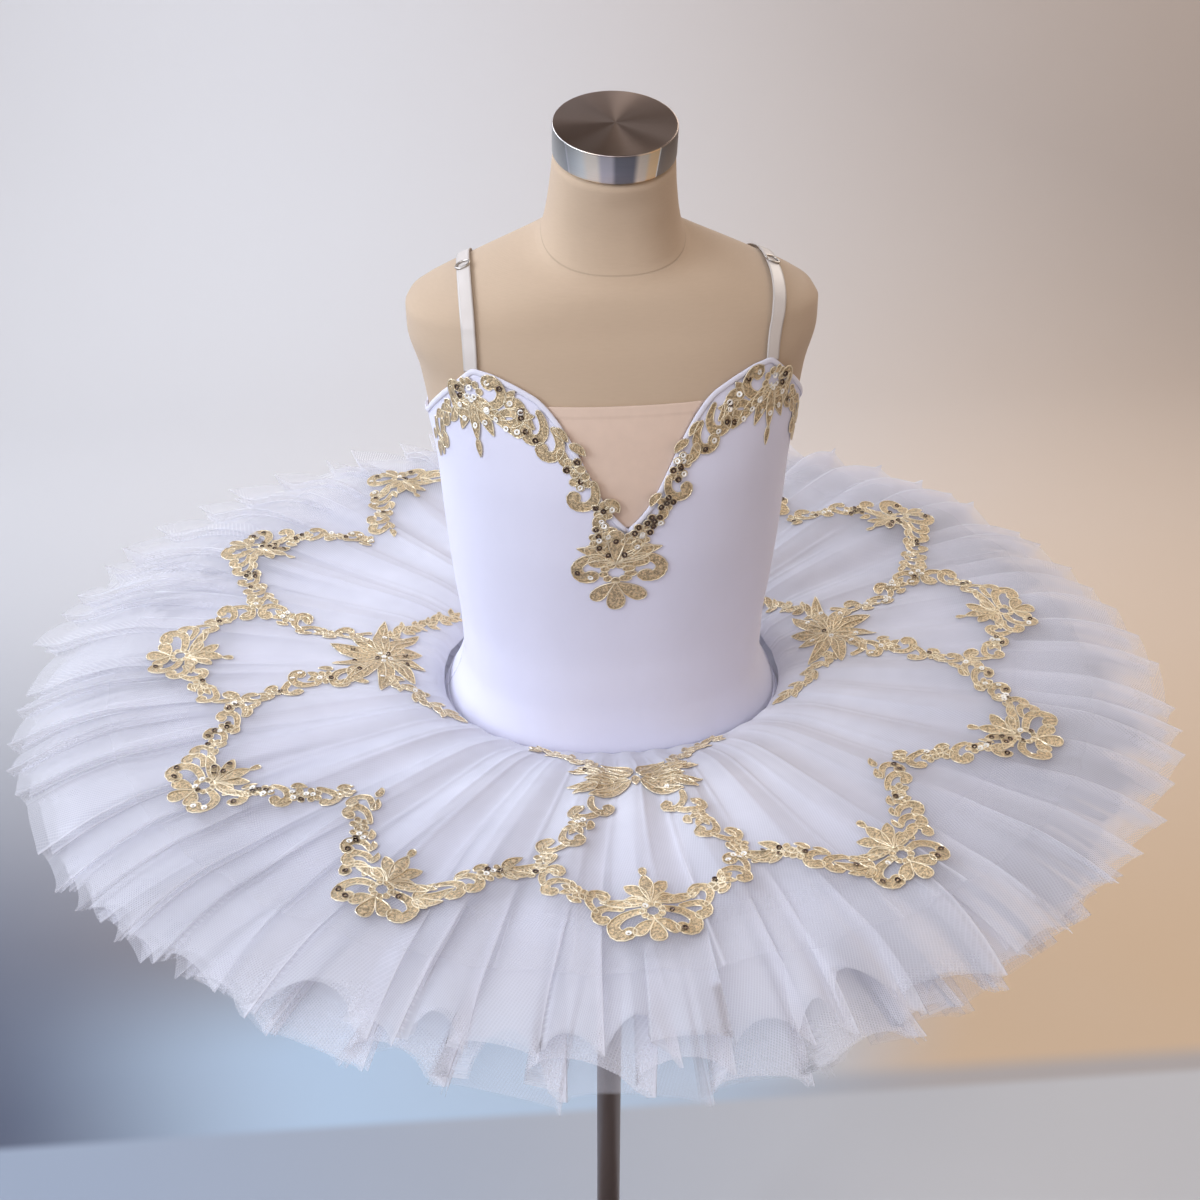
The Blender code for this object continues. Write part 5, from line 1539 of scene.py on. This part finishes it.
# Each light's place, what it points at, its size, power and tint.
LIGHTS = {
    "Window": ((-2.3, -1.0, 2.4), (0, 0, 1.15), 1.5, 47, (0.84, 0.90, 1.0)),
    "Back window": ((-2.1, 1.5, 2.7), (0, 0.1, 1.05), 1.4, 52, (0.83, 0.885, 1.0)),
    "Room": ((2.2, -1.6, 2.0), (0, 0, 1.1), 2.0, 8, (1.0, 0.70, 0.48)),
    "Back room": ((1.7, 1.9, 2.5), (0.3, 0, 1.0), 1.5, 26, (1.0, 0.92, 0.84)),
    "Above": ((-0.6, -1.3, 3.4), (0, 0, 1.0), 1.6, 28, (0.95, 0.95, 1.0)),
    "Wall wash": ((-1.5, 1.2, 2.6), (-0.5, 5.5, 1.6), 1.5, 20, (0.98, 0.98, 1.0)),
}


def make_lights():
    for name, (place, target, size, power, tint) in LIGHTS.items():
        data = bpy.data.lights.new(name, "AREA")
        data.size, data.energy, data.color = size, power, tint
        light = bpy.data.objects.new(name, data)
        light.location = place
        toward = Vector(target) - Vector(place)
        light.rotation_euler = toward.to_track_quat("-Z", "Y").to_euler()
        bpy.context.scene.collection.objects.link(light)


def make_world():
    """A soft room: cool on one side, warm on the other, dimmer overhead."""
    world = bpy.data.worlds.new("Soft room")
    world.use_nodes = True
    n = Nodes(world.node_tree)
    toward = n.split(n.add("TexCoord", "Generated"))
    side = n.ramp(toward[0], -0.9, 0.9, kind="LINEAR")
    back = n.tree.nodes["Background"]
    n.feed(back.inputs["Color"], n.blend(side, (0.80, 0.86, 1.0, 1), (0.95, 0.77, 0.63, 1)))
    n.feed(back.inputs["Strength"], n.ramp(toward[2], 0.25, 0.95, 0.46, 0.14, "LINEAR"))
    bpy.context.scene.world = world


def make_camera():
    data = bpy.data.cameras.new("Front view")
    data.lens, data.sensor_width = 43.79, 36
    data.clip_start, data.clip_end = 0.05, 60
    camera = bpy.data.objects.new("Camera", data)
    right, ahead = Vector(CAMERA_RIGHT).normalized(), Vector(CAMERA_AHEAD).normalized()
    turn = Matrix((right, right.cross(ahead), -ahead)).transposed().to_4x4()
    camera.matrix_world = Matrix.Translation(CAMERA_PLACE) @ turn
    bpy.context.scene.collection.objects.link(camera)
    bpy.context.scene.camera = camera


# ---- operators and panel --------------------------------------------------------------------
class TUTU_OT_stage(bpy.types.Operator):
    """Make the backdrop, the soft lights and the camera"""
    bl_idname = "tutu.stage"
    bl_label = "Stage"

    def execute(self, context):
        make_camera()
        make_stage()
        make_lights()
        make_world()
        context.scene.view_settings.view_transform = "Standard"
        return {"FINISHED"}


class TUTU_OT_form(bpy.types.Operator):
    """Make the linen torso, the brushed cap and the stand"""
    bl_idname = "tutu.form"
    bl_label = "Dress form"

    def execute(self, context):
        make_torso()
        make_cap()
        make_stand()
        return {"FINISHED"}


class TUTU_OT_bodice(bpy.types.Operator):
    """Make the velvet bodice with its insert, piping and brief"""
    bl_idname = "tutu.bodice"
    bl_label = "Bodice and brief"

    def execute(self, context):
        make_bodice()
        make_brief()
        return {"FINISHED"}


class TUTU_OT_straps(bpy.types.Operator):
    """Make the satin straps and their rings"""
    bl_idname = "tutu.straps"
    bl_label = "Straps"

    def execute(self, context):
        make_straps()
        return {"FINISHED"}


class TUTU_OT_skirt(bpy.types.Operator):
    """Make the overlay and the pleated net under it"""
    bl_idname = "tutu.skirt"
    bl_label = "Skirt"

    def execute(self, context):
        for layer in NET_LAYERS:
            make_net_layer(*layer)
        make_overlay()
        return {"FINISHED"}


class TUTU_OT_skirt_lace(bpy.types.Operator):
    """Make the corded lace on the skirt"""
    bl_idname = "tutu.skirt_lace"
    bl_label = "Skirt lace"

    def execute(self, context):
        make_skirt_lace()
        return {"FINISHED"}


class TUTU_OT_bodice_lace(bpy.types.Operator):
    """Make the corded lace on the bodice"""
    bl_idname = "tutu.bodice_lace"
    bl_label = "Bodice lace"

    def execute(self, context):
        make_bodice_lace()
        return {"FINISHED"}


class TUTU_PT_sidebar(bpy.types.Panel):
    """Sizes, colours and makers of the tutu"""
    bl_idname = "TUTU_PT_sidebar"
    bl_label = "Ballet tutu"
    bl_space_type = "VIEW_3D"
    bl_region_type = "UI"
    bl_category = "Tutu"

    def draw(self, context):
        for group in (context.scene.tutu_sizes, context.scene.tutu_colours):
            box = self.layout.box()
            for name in group.__annotations__:
                box.prop(group, name)
        for operator in OPERATORS:
            self.layout.operator(operator.bl_idname)


OPERATORS = (
    TUTU_OT_stage, TUTU_OT_form, TUTU_OT_bodice, TUTU_OT_straps, TUTU_OT_skirt, TUTU_OT_skirt_lace,
    TUTU_OT_bodice_lace,
)
CLASSES = (TutuSizes, TutuColours, *OPERATORS, TUTU_PT_sidebar)


def register():
    for each in CLASSES:
        bpy.utils.register_class(each)
    bpy.types.Scene.tutu_sizes = bpy.props.PointerProperty(type=TutuSizes)
    bpy.types.Scene.tutu_colours = bpy.props.PointerProperty(type=TutuColours)


def unregister():
    del bpy.types.Scene.tutu_colours
    del bpy.types.Scene.tutu_sizes
    for each in reversed(CLASSES):
        bpy.utils.unregister_class(each)


def main():
    register()
    for make in (bpy.ops.tutu.stage, bpy.ops.tutu.form, bpy.ops.tutu.bodice, bpy.ops.tutu.straps,
                 bpy.ops.tutu.skirt, bpy.ops.tutu.skirt_lace, bpy.ops.tutu.bodice_lace):
        make()


if __name__ == "__main__":
    main()
